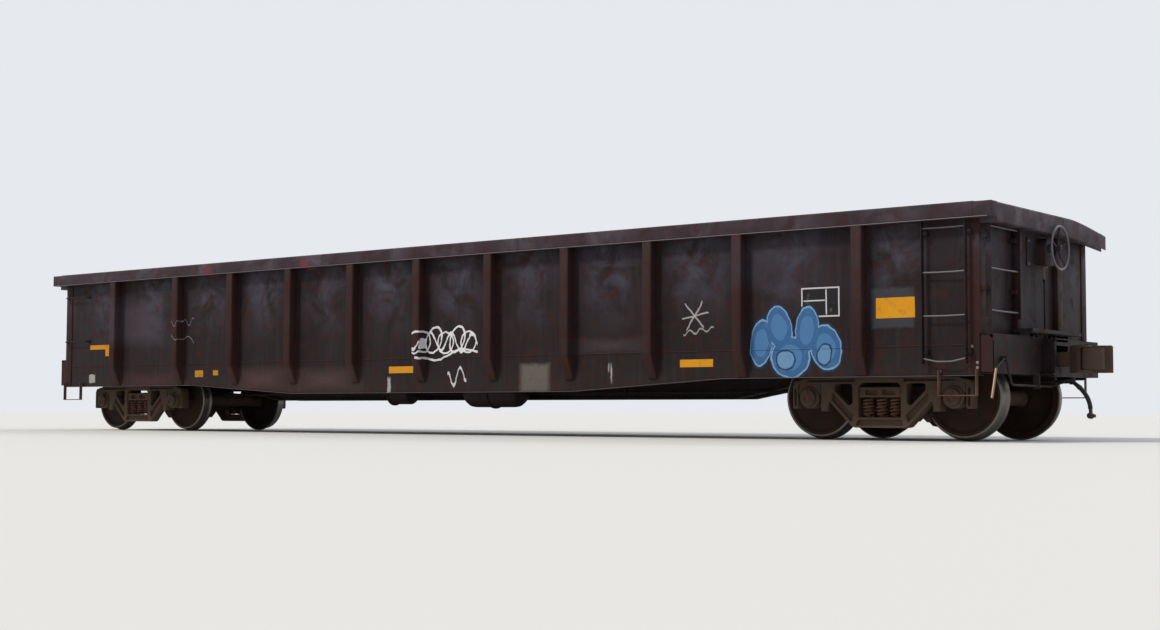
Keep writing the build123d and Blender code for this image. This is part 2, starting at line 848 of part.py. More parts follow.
def control_valve():
    # Pipe bracket with a round portion on each side, and its branch to the train pipe
    length, width, height = valve_box
    body = box_between(valve_x - length / 2, valve_x + length / 2, -gear_y - width / 2, width / 2 - gear_y,
                       valve_level - height / 2, gear_top)
    reach = length / 2 + valve_portion_length
    body += bar((valve_x - reach, -gear_y, valve_level), (valve_x + reach, -gear_y, valve_level),
                valve_portion_radius, hub_sides)
    body += bearer(valve_x)
    return body + bar((valve_x, -gear_y, pipe_level), (valve_x, -pipe_y - pipe_elbow, pipe_level), pipe_radius)


def brake_rods():
    # Cylinder lever, and a pull rod from it towards each bogie through guides on the cross members
    inner, outer = rod_rows
    z = cylinder_level
    lever_x = cylinder_x - cylinder_length / 2 - push_rod_length - lever_half
    lever = box_between(lever_x - lever_half, lever_x + lever_half, -gear_y - lever_half, lever_half - inner,
                        z - lever_thickness / 2, z + lever_thickness / 2)
    rods = [lever]
    for end, row in ((1, inner), (-1, outer)):
        start_x = lever_x + end * lever_half
        rod = bar((start_x, -row, z), (end * rod_reach, -row, z), rod_radius)
        tip = end * (rod_reach - 2 * lever_half)
        rod += box_between(tip, end * rod_reach, -row - 25, 25 - row, z - 15, z + 15)
        for index in (2, 4):
            guide_x = end * index * post_pitch
            rod += box_between(guide_x - rod_guide / 2, guide_x + rod_guide / 2, -row - rod_guide, rod_guide - row,
                               z - 2 * rod_guide, cross_low(row - rod_guide, True))
        rods.append(rod)
    return rods


def train_pipe():
    # Two straight runs with hangers, and the crossing between them through the centre sill
    elbow = pipe_elbow
    crossing = bar(pipe_route[1], pipe_route[2], pipe_radius)
    runs = []
    for sign in signs:
        y = sign * pipe_y
        x_cross = sign * pipe_cross
        crossing += box_between(x_cross - elbow, x_cross + elbow, y - elbow, y + elbow, pipe_level - elbow,
                                pipe_level + elbow)
        run = bar((x_cross + sign * elbow, y, pipe_level), (sign * pipe_reach, y, pipe_level), pipe_radius)
        hangers = [(end_plane + end_sill_depth / 2, end_sill_bottom)]
        hangers += [(index * post_pitch, cross_low(pipe_y - pipe_hanger_half, True)) for index in (2, 4)]
        for x, level in hangers:
            run += box_between(sign * x - 15, sign * x + 15, y - pipe_hanger_half, y + pipe_hanger_half,
                               pipe_level, level)
        runs.append(run)
    return [crossing] + runs


# Bogies
def half_outline():
    # Right half of the side frame, from the bottom middle round the jaw to the top middle
    half = wheelbase / 2
    tip = half + frame_tip
    diagonal_end = half - jaw_half - 105
    leg_in = half - jaw_half - 86
    return [
        (frame_bottom_half, frame_bottom), (frame_bottom_half + 45, frame_bottom + 10),
        (diagonal_end, rail_top + 415), (leg_in, inner_leg_low + 60), (leg_in, inner_leg_low),
        (half - jaw_half - 10, inner_leg_low), (half - jaw_half, inner_leg_low + 30),
        (half - jaw_half, jaw_roof - jaw_lip), (half - jaw_half + jaw_lip, jaw_roof),
        (half + jaw_half - jaw_lip, jaw_roof), (half + jaw_half, jaw_roof - jaw_lip),
        (half + jaw_half, outer_leg_low + 15), (half + jaw_half + 10, outer_leg_low),
        (tip - 10, outer_leg_low), (tip, outer_leg_low + 20), (tip, rail_top + 590), (tip - 25, rail_top + 640),
        (half + 60, frame_top - 18), (frame_shoulder, frame_top),
    ]


def opposite(points):
    return [(-x, z) for x, z in points][::-1]


def side_frame():
    # At the bogie centre, +Y side: spring opening, two windows, and the ribbed outer face
    half = wheelbase / 2
    y0 = bearing_centre_y - frame_thickness / 2
    y1 = bearing_centre_y + frame_thickness / 2
    right = half_outline()
    frame = side_plate(right + opposite(right), y0, y1)
    corner = 40
    opening = [(window_half, spring_seat_level), (window_half, window_top - corner),
               (window_half - corner, window_top)]
    frame -= side_plate(opening + opposite(opening), y0 - 1, y1 + 1)
    column = window_half + frame_column
    inner_end = half - jaw_half
    window = [
        (column, window_top - 20), (column, rail_top + 400), (column + 28, rail_top + 372),
        (column + 60, rail_top + 372), (inner_end - 179, rail_top + 530), (inner_end - 174, window_top - 32),
        (inner_end - 192, window_top - 10), (column + 12, window_top - 10),
    ]
    diagonal = [
        (column + 15, rail_top + 180), (inner_end - 141, rail_top + 428), (inner_end - 147, rail_top + 508),
        (column + 77, rail_top + 345), (column - 10, rail_top + 262),
    ]
    crown = [(window_half + 38, window_top + 14), (half - 10, window_top + 14), (half + 40, window_top + 32),
             (frame_shoulder + 10, frame_top - 22), (window_half + 38, frame_top - 22)]
    jaw_pocket = [(half + jaw_half + 18, outer_leg_low + 35), (half + frame_tip - 18, outer_leg_low + 35),
                  (half + frame_tip - 18, rail_top + 560), (half + jaw_half + 18, rail_top + 560)]
    seat = [(frame_bottom_half, frame_bottom + 24), (window_half, spring_seat_level - 24)]
    frame -= side_plate(seat + opposite(seat), y1 - pocket_depth, y1 + 1)
    for turn in (list, opposite):
        frame -= side_plate(turn(window), y0 - 1, y1 + 1)
        for pocket in (diagonal, crown, jaw_pocket):
            frame -= side_plate(turn(pocket), y1 - pocket_depth, y1 + 1)
    return frame


def bogie_bolster():
    # Box casting, deep in the middle, with the centre bowl, side bearings and two pockets in each end
    half_x = window_half - bolster_gap
    top = bolster_top_level
    low = spring_top_level
    reach = bearing_centre_y + frame_thickness / 2 - 10
    belly_y, crown_y = bolster_belly, bolster_crown
    outline = [(-reach, low), (-belly_y - 340, low), (-belly_y, bolster_belly_low), (belly_y, bolster_belly_low),
               (belly_y + 340, low), (reach, low), (reach, top), (crown_y, top + 30), (-crown_y, top + 30),
               (-reach, top)]
    bolster = cross_plate(outline, -half_x, half_x)
    bowl_top = centre_plate_level + 28
    bolster += disc(0, 0, top, bowl_top, centre_plate_radius + 30)
    bowl = RegularPolygon(centre_plate_radius + 3, plate_sides, major_radius=False)
    bolster -= extrude(Pos(0, 0, centre_plate_level - rest_gap) * bowl, 100)
    for side in signs:
        bolster += box_between(-80, 80, side * (side_bearing_y - 55), side * (side_bearing_y + 55), top - 40,
                               side_bearing_low - bogie_turn_gap)
        for end in signs:
            x = end * bolster_pocket_x
            z = (low + top) / 2
            bolster -= box_between(x - 75, x + 75, side * (reach - pocket_depth), side * (reach + 1), z - 28, z + 28)
    return bolster


def springs():
    # Coil groups as grooved columns, one groove between neighbouring turns
    height = spring_top_level - spring_seat_level
    step = height / spring_turns / 2
    stations = [
        (spring_seat_level + index * step, spring_radius if index % 2 else spring_radius * spring_waist)
        for index in range(2 * spring_turns + 1)
    ]
    coil = turned(stations, bar_sides)
    return [
        Pos(column * spring_pitch, side * bearing_centre_y, 0) * coil for side in signs for column in (-1, 0, 1)
    ]


def bearings():
    # Roller bearing cup round each journal and the adapter that seats the side frame on it
    half = bearing_length / 2
    cup = turned([(-half, bearing_radius - 8), (14 - half, bearing_radius), (half - 14, bearing_radius),
                  (half, bearing_radius - 8)], hub_sides)
    crown = jaw_roof - axle_centre
    wing = jaw_half - jaw_lip / 2
    saddle = [(-wing, 40), (-bearing_radius, 40), (bearing_radius, 40), (wing, 40), (wing, crown - jaw_lip),
              (wing - jaw_lip, crown), (jaw_lip - wing, crown), (-wing, crown - jaw_lip)]
    adapter = side_plate(saddle, 20 - half, half - 20)
    axle_room = cylinder_between((0, -half - 1, 0), (0, half + 1, 0), journal_radius + bearing_gap)
    bearing = along_y(cup) + adapter - axle_room
    return [
        Pos(end * wheelbase / 2, side * bearing_centre_y, axle_centre) * bearing for end in signs for side in signs
    ]


def brake_beams():
    # Beam across the bogie with a brake head and shoe at each wheel
    guide = bearing_centre_y - frame_thickness / 2 - rest_gap
    tread_x = wheelbase / 2 - wheel_radius
    beam_x = (window_half - bolster_gap + tread_x) / 2
    z = beam_level
    beam = box_between(beam_x - 28, beam_x + 28, -guide, guide, z - 32, z + 32)
    for side in signs:
        y = side * (wheel_back_gap / 2 + rim_width / 2 + 10)
        head = [(beam_x, z - 60), (tread_x + 10, z - 150), (tread_x + 60, z - 150), (tread_x + 60, z + 150),
                (tread_x - 10, z + 150), (beam_x, z + 60)]
        shoe = side_plate(head, y - 42, y + 42)
        tread = bar((wheelbase / 2, y - 60, axle_centre), (wheelbase / 2, y + 60, axle_centre),
                    wheel_radius + shoe_gap, wheel_sides)
        beam += shoe - tread
    return [beam, mirrored_x(beam)]


def wheel():
    # Axis along Y, back face of the flange at Y = 0: dished plate between rim and hub
    rim_inner = wheel_radius - rim_depth
    outer = turned([(0, flange_radius), (22, flange_radius), (40, wheel_radius), (rim_width, wheel_radius - 5)],
                   wheel_sides)
    front = rim_width - plate_thickness
    plate_hub = rim_width / 2
    outer -= turned([(plate_hub, hub_radius), (front, rim_inner - 8), (rim_width + 1, rim_inner)], wheel_sides)
    outer -= turned([(-1, rim_inner), (front - plate_thickness - 35, rim_inner - 12),
                     (plate_hub - plate_thickness, hub_radius)], wheel_sides)
    hub_start = -(hub_length - rim_width) / 2
    hub = disc(0, 0, hub_start, hub_start + hub_length, hub_radius, hub_sides)
    seat = disc(0, 0, hub_start - 1, hub_start + hub_length + 1, wheel_bore_radius, hub_sides)
    return along_y(outer + hub - seat)


def axle():
    # Journals, wheel seats, tapered middle and the bearing end caps
    seat_in = wheel_back_gap / 2 - (hub_length - rim_width) / 2
    seat_out = seat_in + hub_length
    shoulder = bearing_centre_y - bearing_length / 2 - 8
    half = end_cap_face_y
    line = [(axle_mid_radius, seat_in - 60), (wheel_bore_radius, seat_in), (wheel_bore_radius, seat_out),
            (journal_radius, shoulder), (journal_radius, half)]
    stations = [(-place, radius) for radius, place in line][::-1] + [(place, radius) for radius, place in line]
    shaft = turned(stations, hub_sides)
    for sign in signs:
        shaft += disc(0, 0, sign * (half - end_cap_depth), sign * half, end_cap_radius, hub_sides)
    return along_y(shaft)


# Couplers, drawn at the +X end
def coupler():
    # Head with its guard arm, knuckle slot and pin, and the shank back to the pivot
    x0 = pulling_face
    z0 = coupler_level - head_height / 2
    z1 = coupler_level + head_height / 2
    plan = [
        (x0 - 290, -64), (x0 - 215, -118), (x0 - 165, -165), (x0 - 110, -180), (x0 - 70, -180), (x0 - 34, -158),
        (x0 - 40, -60), (x0 - 95, -50), (x0 - 100, 40), (x0 - 70, 72), (x0 - 10, 96), (x0 + 50, 132),
        (x0 + 100, 148), (x0 + 108, 176), (x0 + 90, 196), (x0 + 30, 206), (x0 - 90, 190), (x0 - 205, 140),
        (x0 - 290, 64),
    ]
    head = chamfer(flat_plate(plan, z0, z1).faces().sort_by(Axis.Z)[-1].edges(), head_chamfer)
    pin_x = x0 - knuckle_pin_back
    pin_y = -knuckle_pin_side
    slot_half = knuckle_height / 2 + 5
    slot = [
        (x0 - 190, -62), (x0 - 130, -122), (x0 - 130, -230), (x0 + 60, -230), (x0 + 60, -40), (x0 - 90, -40),
        (x0 - 90, -20), (x0 - 190, -20),
    ]
    head -= flat_plate(slot, coupler_level - slot_half, coupler_level + slot_half)
    head += disc(pin_x, pin_y, z0 - 8, z1 + 8, knuckle_pin_radius, hub_sides)
    half_shank = shank_height / 2
    head += box_between(coupler_pivot, x0 - 280, -shank_width / 2, shank_width / 2, coupler_level - half_shank,
                        coupler_level + half_shank)
    butt = cylinder_between((coupler_pivot, 0, coupler_level - half_shank),
                            (coupler_pivot, 0, coupler_level + half_shank), shank_width / 2)
    return head + butt


def knuckle():
    x0 = pulling_face
    pin_x = x0 - knuckle_pin_back
    pin_y = -knuckle_pin_side
    half = knuckle_height / 2
    plan = [
        (pin_x, pin_y - knuckle_hub_radius), (x0 - 14, -164), (x0 + 34, -146), (x0 + 70, -112), (x0 + 86, -66),
        (x0 + 84, -20), (x0 + 68, 2), (x0 + 44, 12), (x0 + 14, 10), (x0, -10), (x0 - 4, -58),
        (pin_x + 10, pin_y + knuckle_hub_radius), (pin_x - 20, pin_y + knuckle_hub_radius - 4),
    ]
    nose = flat_plate(plan, coupler_level - half, coupler_level + half)
    hub = disc(pin_x, pin_y, coupler_level - half, coupler_level + half, knuckle_hub_radius, hub_sides)
    eye = cylinder_between((pin_x, pin_y, coupler_level - half - 1), (pin_x, pin_y, coupler_level + half + 1),
               knuckle_pin_radius + pin_gap)
    return nose + hub - eye


def draft_gear():
    half = sill_gap / 2 - rest_gap
    block = box_between(coupler_pivot - 720, coupler_pivot - 80, -half, half, coupler_level - 150,
                        coupler_level + 150)
    yoke = box_between(coupler_pivot - 90, coupler_pivot + 90, -half, half, coupler_level - shank_height / 2 - 40,
                       coupler_level + shank_height / 2 + 40)
    pocket = box_between(coupler_pivot - 72, coupler_pivot + 100, -sill_gap / 2, sill_gap / 2,
                         coupler_level - shank_height / 2 - rest_gap, coupler_level + shank_height / 2 + rest_gap)
    return block + (yoke - pocket)


# Air hoses: from the angle cock down to the hanging gladhand
hose_radius = 25.0
hose_bend = 300.0
hose_runs = 8
cock_point = (pipe_reach + 110.0, pipe_y, pipe_level)
cock_radius = 34.0
cock_outlet = 75.0
outlet_tilt = 40.0
gladhand_length = 110.0
gladhand_radius = 34.0
gladhand_depth = 50.0


def outlet_point(reach):
    angle = math.radians(outlet_tilt)
    x, y, z = cock_point
    return (x + reach * math.cos(angle), y, z - reach * math.sin(angle))


hose_start = outlet_point(cock_outlet)
hose_corner = outlet_point(cock_outlet + 175.0)
hose_end = (hose_corner[0] + 10.0, pipe_y - 5.0, rail_top + 335.0)


def hose_route():
    path = FilletPolyline(hose_start, hose_corner, hose_end, radius=hose_bend)
    return [path @ (index / hose_runs) for index in range(hose_runs + 1)]


def air_hose():
    return bent_bar(hose_route(), hose_radius)


def angle_cock():
    # Valve body with its handle, on the end of the train pipe
    x, y, z = cock_point
    cock = bar((pipe_reach, y, z), (x, y, z), pipe_radius + 7)
    cock += disc(x, y, z - cock_radius, z + cock_radius + 10, cock_radius, hub_sides)
    cock += box_between(x - 10, x + 10, y - 110, y, z + cock_radius + 10, z + cock_radius + 22)
    return cock + bar((x, y, z), hose_start, pipe_radius + 7)


def gladhand():
    # Shank in the hose's last direction, round head with its face towards -Y, and the locking lug
    before, last = hose_route()[-2:]
    tip = last + (last - before).normalized() * gladhand_length
    shank = bar(tuple(last), tuple(tip), hose_radius - 3)
    head_z = tip.Z + gladhand_radius
    head = bar((tip.X, tip.Y - gladhand_depth, head_z), (tip.X, tip.Y + 8, head_z), gladhand_radius, hub_sides)
    lug = box_between(tip.X, tip.X + 2 * gladhand_radius, tip.Y - gladhand_depth, tip.Y - gladhand_depth + 12,
                      head_z - 20, head_z + 14)
    return shank + head + lug


save("center_sill", centre_sill())
save("body_bolsters", body_bolsters())
save("cross_members", cross_members())
save("floor_plate", [box_between(-half_length, half_length, -half_width, half_width, floor_bottom, floor_level)])
save("floor_stringers", floor_stringers())
for name, side in (("left", 1), ("right", -1)):
    save("side_sheet_" + name, [side_sheet(side)])
    save("side_sill_" + name, [side_sill(side)])
    save("side_posts_" + name, side_posts(side))
save("top_chords", top_chords())
save("end_sheets", end_sheets())
save("end_posts", end_posts())
save("end_sills", [end_sill(1), end_sill(-1)])
save("draft_gears", [draft_gear(), half_turn(draft_gear())])
save("side_ladders", [side_ladder(), half_turn(side_ladder())])
save("end_ladders", [end_ladder(), half_turn(end_ladder())])
save("grab_irons", grab_irons())
save("sill_steps", sill_steps())
lever = uncoupling_lever()
save("uncoupling_levers", lever + [half_turn(item) for item in lever])
save("brake_wheel", [brake_wheel()])
save("brake_gear_housing", [brake_gear_housing()])
save("hand_brake_rod", [hand_brake_rod()])
save("brake_platform", [brake_platform()])
save("brake_cylinder", [brake_cylinder()])
save("air_reservoir", [air_reservoir()])
save("control_valve", [control_valve()])
save("brake_rods", brake_rods())
save("train_pipe", train_pipe())
save("angle_cocks", [angle_cock(), half_turn(angle_cock())])
for name, sign in x_ends.items():
    place = (lambda solid: solid) if sign > 0 else half_turn
    save("air_hose_" + name, [place(air_hose())])
    save("gladhand_" + name, [place(gladhand())])
    save("coupler_" + name, [place(coupler())])
    save("knuckle_" + name, [place(knuckle())])
    at = Pos(sign * bogie_centres / 2, 0, 0)
    save("bogie_" + name + "_side_frames", [at * side_frame(), at * mirrored_y(side_frame())])
    save("bogie_" + name + "_bolster", [at * bogie_bolster()])
    save("bogie_" + name + "_springs", [at * item for item in springs()])
    save("bogie_" + name + "_bearings", [at * item for item in bearings()])
    save("bogie_" + name + "_brake_beams", [at * item for item in brake_beams()])

axle_places = (
    ("1", -bogie_centres / 2 - wheelbase / 2),
    ("2", -bogie_centres / 2 + wheelbase / 2),
    ("3", bogie_centres / 2 - wheelbase / 2),
    ("4", bogie_centres / 2 + wheelbase / 2),
)
one_wheel = Pos(0, wheel_back_gap / 2, 0) * wheel()
for name, x in axle_places:
    at = Pos(x, 0, axle_centre)
    save("wheelset_" + name + "_axle", [at * axle()])
    save("wheelset_" + name + "_wheels", [at * one_wheel, at * mirrored_y(one_wheel)])
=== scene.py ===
import bmesh
import bpy
import json
import math
from mathutils import Matrix, Vector, noise


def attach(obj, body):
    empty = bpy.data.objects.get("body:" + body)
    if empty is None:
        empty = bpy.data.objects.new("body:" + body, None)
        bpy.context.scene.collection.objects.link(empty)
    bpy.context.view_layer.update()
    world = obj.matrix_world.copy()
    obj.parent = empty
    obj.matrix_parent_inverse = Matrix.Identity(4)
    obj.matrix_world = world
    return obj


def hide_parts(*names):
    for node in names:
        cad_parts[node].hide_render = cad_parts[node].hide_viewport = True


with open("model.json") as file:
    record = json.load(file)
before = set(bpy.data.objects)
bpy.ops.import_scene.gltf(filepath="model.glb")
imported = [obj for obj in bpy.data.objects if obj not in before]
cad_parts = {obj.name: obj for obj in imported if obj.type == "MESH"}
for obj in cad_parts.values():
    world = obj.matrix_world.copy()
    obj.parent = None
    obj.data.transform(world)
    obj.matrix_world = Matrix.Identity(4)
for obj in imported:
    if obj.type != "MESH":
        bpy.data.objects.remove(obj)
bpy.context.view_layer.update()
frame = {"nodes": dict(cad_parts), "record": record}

nodes = frame["nodes"]
record = frame["record"]
bodyOf = {node: body for body, names in record["behaviour"]["bodies"].items() for node in names}
print("frame loaded:", len(nodes), "nodes")

# Sizes shared by several pieces, in metres, as in the CAD
railTop = 0.0254
endPlane = 8.0074
sidePlane = 1.4544
outerSkin = sidePlane - 0.004  # just inside the outer face of the side sheets
halfWidth = 1.448
postPlane = 1.5984
cornerPlace = endPlane - 0.13  # middle of the corner posts
cornerStep = 0.012  # corner posts and the hand brake's plate stand this far out of the sheets
sillSeam = railTop + 1.0
floorLevel = railTop + 1.125
floorUnder = floorLevel - 0.0095
bodyTop = railTop + 2.497
chordBottom = bodyTop - 0.171
postPitch = 1.27
bogiePlace = {"a": -6.6295, "b": 6.6295}
postPlaces = [(i - 4) * postPitch for i in range(9)] + list(bogiePlace.values())
halfBase = 0.889
axleLevel = railTop + 0.457
bearingY = 1.003


def toLinear(hexCode):
    # sRGB hex to the linear colour that the sockets take
    parts = [int(hexCode[i:i + 2], 16) / 255 for i in (1, 3, 5)]
    return [c / 12.92 if c <= 0.04045 else ((c + 0.055) / 1.055) ** 2.4 for c in parts] + [1.0]


def addNode(tree, kind, inputs=None, **settings):
    # A node with settings and inputs: values, hex colours, outputs, or nodes for their first output in use
    node = tree.nodes.new("ShaderNode" + kind)
    for name, value in settings.items():
        setattr(node, name, value)
    for socket, value in (inputs or {}).items():
        if isinstance(value, bpy.types.Node):
            value = next(output for output in value.outputs if output.enabled)
        if isinstance(value, bpy.types.NodeSocket):
            tree.links.new(value, node.inputs[socket])
        else:
            node.inputs[socket].default_value = toLinear(value) if isinstance(value, str) else value
    return node


def startMaterial(name):
    material = bpy.data.materials.new(name)
    material.use_nodes = True
    tree = material.node_tree
    tree.nodes.clear()
    return material, tree, addNode(tree, "TexCoord").outputs["Object"]


def endMaterial(tree, inputs):
    # The shader and the output that close every material
    shader = addNode(tree, "BsdfPrincipled", inputs)
    addNode(tree, "OutputMaterial", {"Surface": shader})


def addObject(name, data):
    item = bpy.data.objects.new(name, data)
    bpy.context.scene.collection.objects.link(item)
    return item


def toMesh(bm, name):
    # A finished bmesh as mesh data, with its faces looking outwards
    bmesh.ops.recalc_face_normals(bm, faces=bm.faces)
    mesh = bpy.data.meshes.new(name)
    bm.to_mesh(mesh)
    bm.free()
    return mesh


def makePiece(bm, name, materials, node=None):
    # The bmesh becomes a piece at the origin; the CAD node it replaces gives its body and is hidden
    mesh = toMesh(bm, name)
    piece = addObject(name, mesh)
    for material in materials:
        mesh.materials.append(material)
    mesh.shade_smooth()
    mesh.set_sharp_from_angle(angle=math.radians(35))
    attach(piece, bodyOf[node] if node else "body")
    if node:
        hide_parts(node)
    return piece


def bevelEdges(bm, edges, width, segments):
    bmesh.ops.bevel(bm, geom=edges, offset=width, offset_type="OFFSET", segments=segments, profile=0.5,
                    affect="EDGES", clamp_overlap=True, material=-1)


def castCopy(node, material, width, segments=2, reshape=None):
    # The CAD shape with its corners rounded, as a casting or a pressing has them
    bm = bmesh.new()
    bm.from_mesh(nodes[node].data)
    bmesh.ops.remove_doubles(bm, verts=bm.verts, dist=0.00002)
    bmesh.ops.dissolve_limit(bm, angle_limit=0.02, verts=bm.verts, edges=bm.edges)
    if reshape:
        reshape(bm)
    corners = [edge for edge in bm.edges
               if edge.is_manifold and edge.calc_face_angle(0) > 0.5 and edge.calc_length() > width]
    bevelEdges(bm, corners, width, segments)
    return makePiece(bm, node + "_rounded", [material], node)


def joinInto(target, bm, matrix, index=0):
    # Moves a small bmesh to its place and adds it to a bigger one
    bmesh.ops.transform(bm, matrix=matrix, verts=bm.verts)
    for face in bm.faces:
        face.material_index = max(face.material_index, index)
    mesh = toMesh(bm, "joined")
    target.from_mesh(mesh)
    bpy.data.meshes.remove(mesh)


def addHalfTurn(bm):
    # All of it again, turned by 180 degrees to the other end
    joinInto(bm, bm.copy(), Matrix.Diagonal((-1, -1, 1, 1)))


def latheInto(target, profile, steps, matrix, closed=False, index=0):
    # Spins (radius, place) points round the matrix's Z axis
    bm = bmesh.new()
    verts = [bm.verts.new((radius, 0, place)) for radius, place in profile]
    edges = [bm.edges.new(pair) for pair in zip(verts, verts[1:])]
    if closed:
        edges.append(bm.edges.new((verts[-1], verts[0])))
    bmesh.ops.spin(bm, geom=verts + edges, cent=(0, 0, 0), axis=(0, 0, 1), angle=2 * math.pi, steps=steps,
                   use_merge=True)
    bmesh.ops.remove_doubles(bm, verts=bm.verts, dist=0.00005)
    joinInto(target, bm, matrix, index)


def mirrored(half):
    # Profile points up to the middle, then the same points back from it
    return half + [(radius, -place) for radius, place in reversed(half)]


def roundSection(radius, wire, sides):
    # Profile of a ring of round wire
    angles = [2 * math.pi * i / sides for i in range(sides)]
    return [(radius + wire * math.cos(a), wire * math.sin(a)) for a in angles]


def polar(radius, degrees, place):
    # Point round local Z
    angle = math.radians(degrees)
    return Vector((radius * math.cos(angle), radius * math.sin(angle), place))


def addBlock(target, low, high, width=0.003):
    # Box between two corners with bevelled edges
    bm = bmesh.new()
    bmesh.ops.create_cube(bm, size=1.0)
    bmesh.ops.scale(bm, vec=[abs(b - a) for a, b in zip(low, high)], verts=bm.verts)
    bevelEdges(bm, bm.edges[:], width, 1)
    joinInto(target, bm, Matrix.Translation([(a + b) / 2 for a, b in zip(low, high)]))


def addSlab(target, outline, thickness, place, width=0.0):
    # An outline of (x, z) points gets its thickness along Y
    bm = bmesh.new()
    face = bm.faces.new([bm.verts.new((x, 0, z)) for x, z in outline])
    made = bmesh.ops.extrude_face_region(bm, geom=[face])
    moved = [v for v in made["geom"] if isinstance(v, bmesh.types.BMVert)]
    bmesh.ops.translate(bm, vec=(0, thickness, 0), verts=moved)
    bmesh.ops.recalc_face_normals(bm, faces=bm.faces)
    if width:
        bevelEdges(bm, bm.edges[:], width, 1)
    joinInto(target, bm, Matrix.Translation(place))


def facing(point, direction):
    # Matrix that puts local Z along a direction at a point
    turn = Vector(direction).to_track_quat("Z", "Y").to_matrix().to_4x4()
    return Matrix.Translation(point) @ turn


def addBolt(target, point, direction, size):
    # Hexagon head on its washer; the size is the head's radius, and their measures are shares of it
    bm = bmesh.new()
    for sides, lower, upper, depth, level in ((12, 1.5, 1.5, 0.3, 0.1), (6, 1.0, 0.94, 0.9, 0.6)):
        bmesh.ops.create_cone(bm, cap_ends=True, segments=sides, radius1=size * lower,
                              radius2=size * upper, depth=size * depth,
                              matrix=Matrix.Translation((0, 0, size * level)))
    joinInto(target, bm, facing(point, direction))


def layCurve(name, points, radius, roundSteps, bendSteps):
    # Round NURBS curve pulled towards its points
    curve = bpy.data.curves.new(name, "CURVE")
    curve.dimensions = "3D"
    curve.bevel_depth = radius
    curve.bevel_resolution = roundSteps
    curve.resolution_u = bendSteps
    curve.use_fill_caps = True
    spline = curve.splines.new("NURBS")
    spline.points.add(len(points) - 1)
    for target, point in zip(spline.points, points):
        target.co = (*point, 1)
    spline.order_u = 3
    spline.use_endpoint_u = True
    return addObject(name, curve)


def addBar(target, route, radius, corner=0.03, index=0):
    # Round bar along its route; a point close to each corner on both sides keeps the bend tight
    route = [Vector(point) for point in route]
    points = route[:1]
    for before, here, after in zip(route, route[1:], route[2:]):
        points += [here + (before - here).normalized() * corner, here,
                   here + (after - here).normalized() * corner]
    bar = layCurve("bar", points + route[-1:], radius, 3, 6)
    mesh = bpy.data.meshes.new_from_object(bar.evaluated_get(bpy.context.evaluated_depsgraph_get()))
    bpy.data.curves.remove(bar.data)
    for polygon in mesh.polygons:
        polygon.material_index = index
    target.from_mesh(mesh)
    bpy.data.meshes.remove(mesh)


# Masks for what was stuck, rolled and sprayed on the sides, on a flat (place along, level) map
def ellipseField(tree, flat, place, radii, turn):
    # 1 on the outline of a tilted ellipse, less inside it
    mapped = addNode(tree, "Mapping", {
        "Vector": flat, "Location": (place[0], 0, place[1]), "Rotation": (0, turn, 0),
        "Scale": (radii[0], 1000.0, radii[1])}, vector_type="TEXTURE")
    return addNode(tree, "VectorMath", {0: mapped}, operation="LENGTH")


def clusterField(tree, flat, blobs):
    # Below 1 inside any of the ellipses
    nearest, *others = [ellipseField(tree, flat, *blob) for blob in blobs]
    for field in others:
        nearest = addNode(tree, "Math", {0: nearest, 1: field}, operation="MINIMUM")
    return nearest


def boxMask(tree, flat, place, halves, blur):
    # 1 inside an upright box, fading over blur
    mapped = addNode(tree, "Mapping", {
        "Vector": flat, "Location": (place[0], 0, place[1]), "Scale": (halves[0], 1000.0, halves[1])},
        vector_type="TEXTURE")
    away = addNode(tree, "VectorMath", {0: mapped}, operation="ABSOLUTE")
    parts = addNode(tree, "SeparateXYZ", {0: away}).outputs
    farthest = addNode(tree, "Math", {0: parts["X"], 1: parts["Z"]}, operation="MAXIMUM")
    fade = blur / min(halves)
    return addNode(tree, "MapRange", {
        "Value": farthest, "From Min": 1 - fade, "From Max": 1 + fade, "To Min": 1.0, "To Max": 0.0})


def waveMask(tree, flat, place, reach, length, swing, slope, width):
    # A brushed zigzag line round its own sloping base line
    mapped = addNode(tree, "Mapping", {"Vector": flat, "Location": (place[0], 0, place[1])},
                     vector_type="TEXTURE")
    parts = addNode(tree, "SeparateXYZ", {0: mapped}).outputs
    phase = addNode(tree, "Math", {0: parts["X"], 1: 2 * math.pi / length}, operation="MULTIPLY")
    wave = addNode(tree, "Math", {0: phase}, operation="SINE")
    base = addNode(tree, "Math", {0: parts["X"], 1: slope}, operation="MULTIPLY")
    line = addNode(tree, "Math", {0: wave, 1: swing, 2: base}, operation="MULTIPLY_ADD")
    near = addNode(tree, "Math", {0: parts["Z"], 1: line, 2: width}, operation="COMPARE")
    within = addNode(tree, "Math", {0: parts["X"], 1: 0.0, 2: reach}, operation="COMPARE")
    return addNode(tree, "Math", {0: near, 1: within}, operation="MULTIPLY")


bodyLook = {
    "base": "#1b1213", "faded": "#282022", "haze": "#46434f", "hazeShare": 0.55, "dust": "#3d363c",
    "rust": "#4b2822", "rustDark": "#2a1714", "rustShare": 0.1, "bloom": 0.85, "soil": "#43372f",
    "streak": 0.28, "dustTop": 1.0, "dustShare": 0.35, "rough": 0.56, "pits": 0.25, "gloss": 0.14,
    "broadScale": 1.3, "cloudScale": 2.6, "bloomScale": 5.5, "grainScale": 95.0,
    "sheenLow": 1.2, "sheenHigh": 2.05,
}


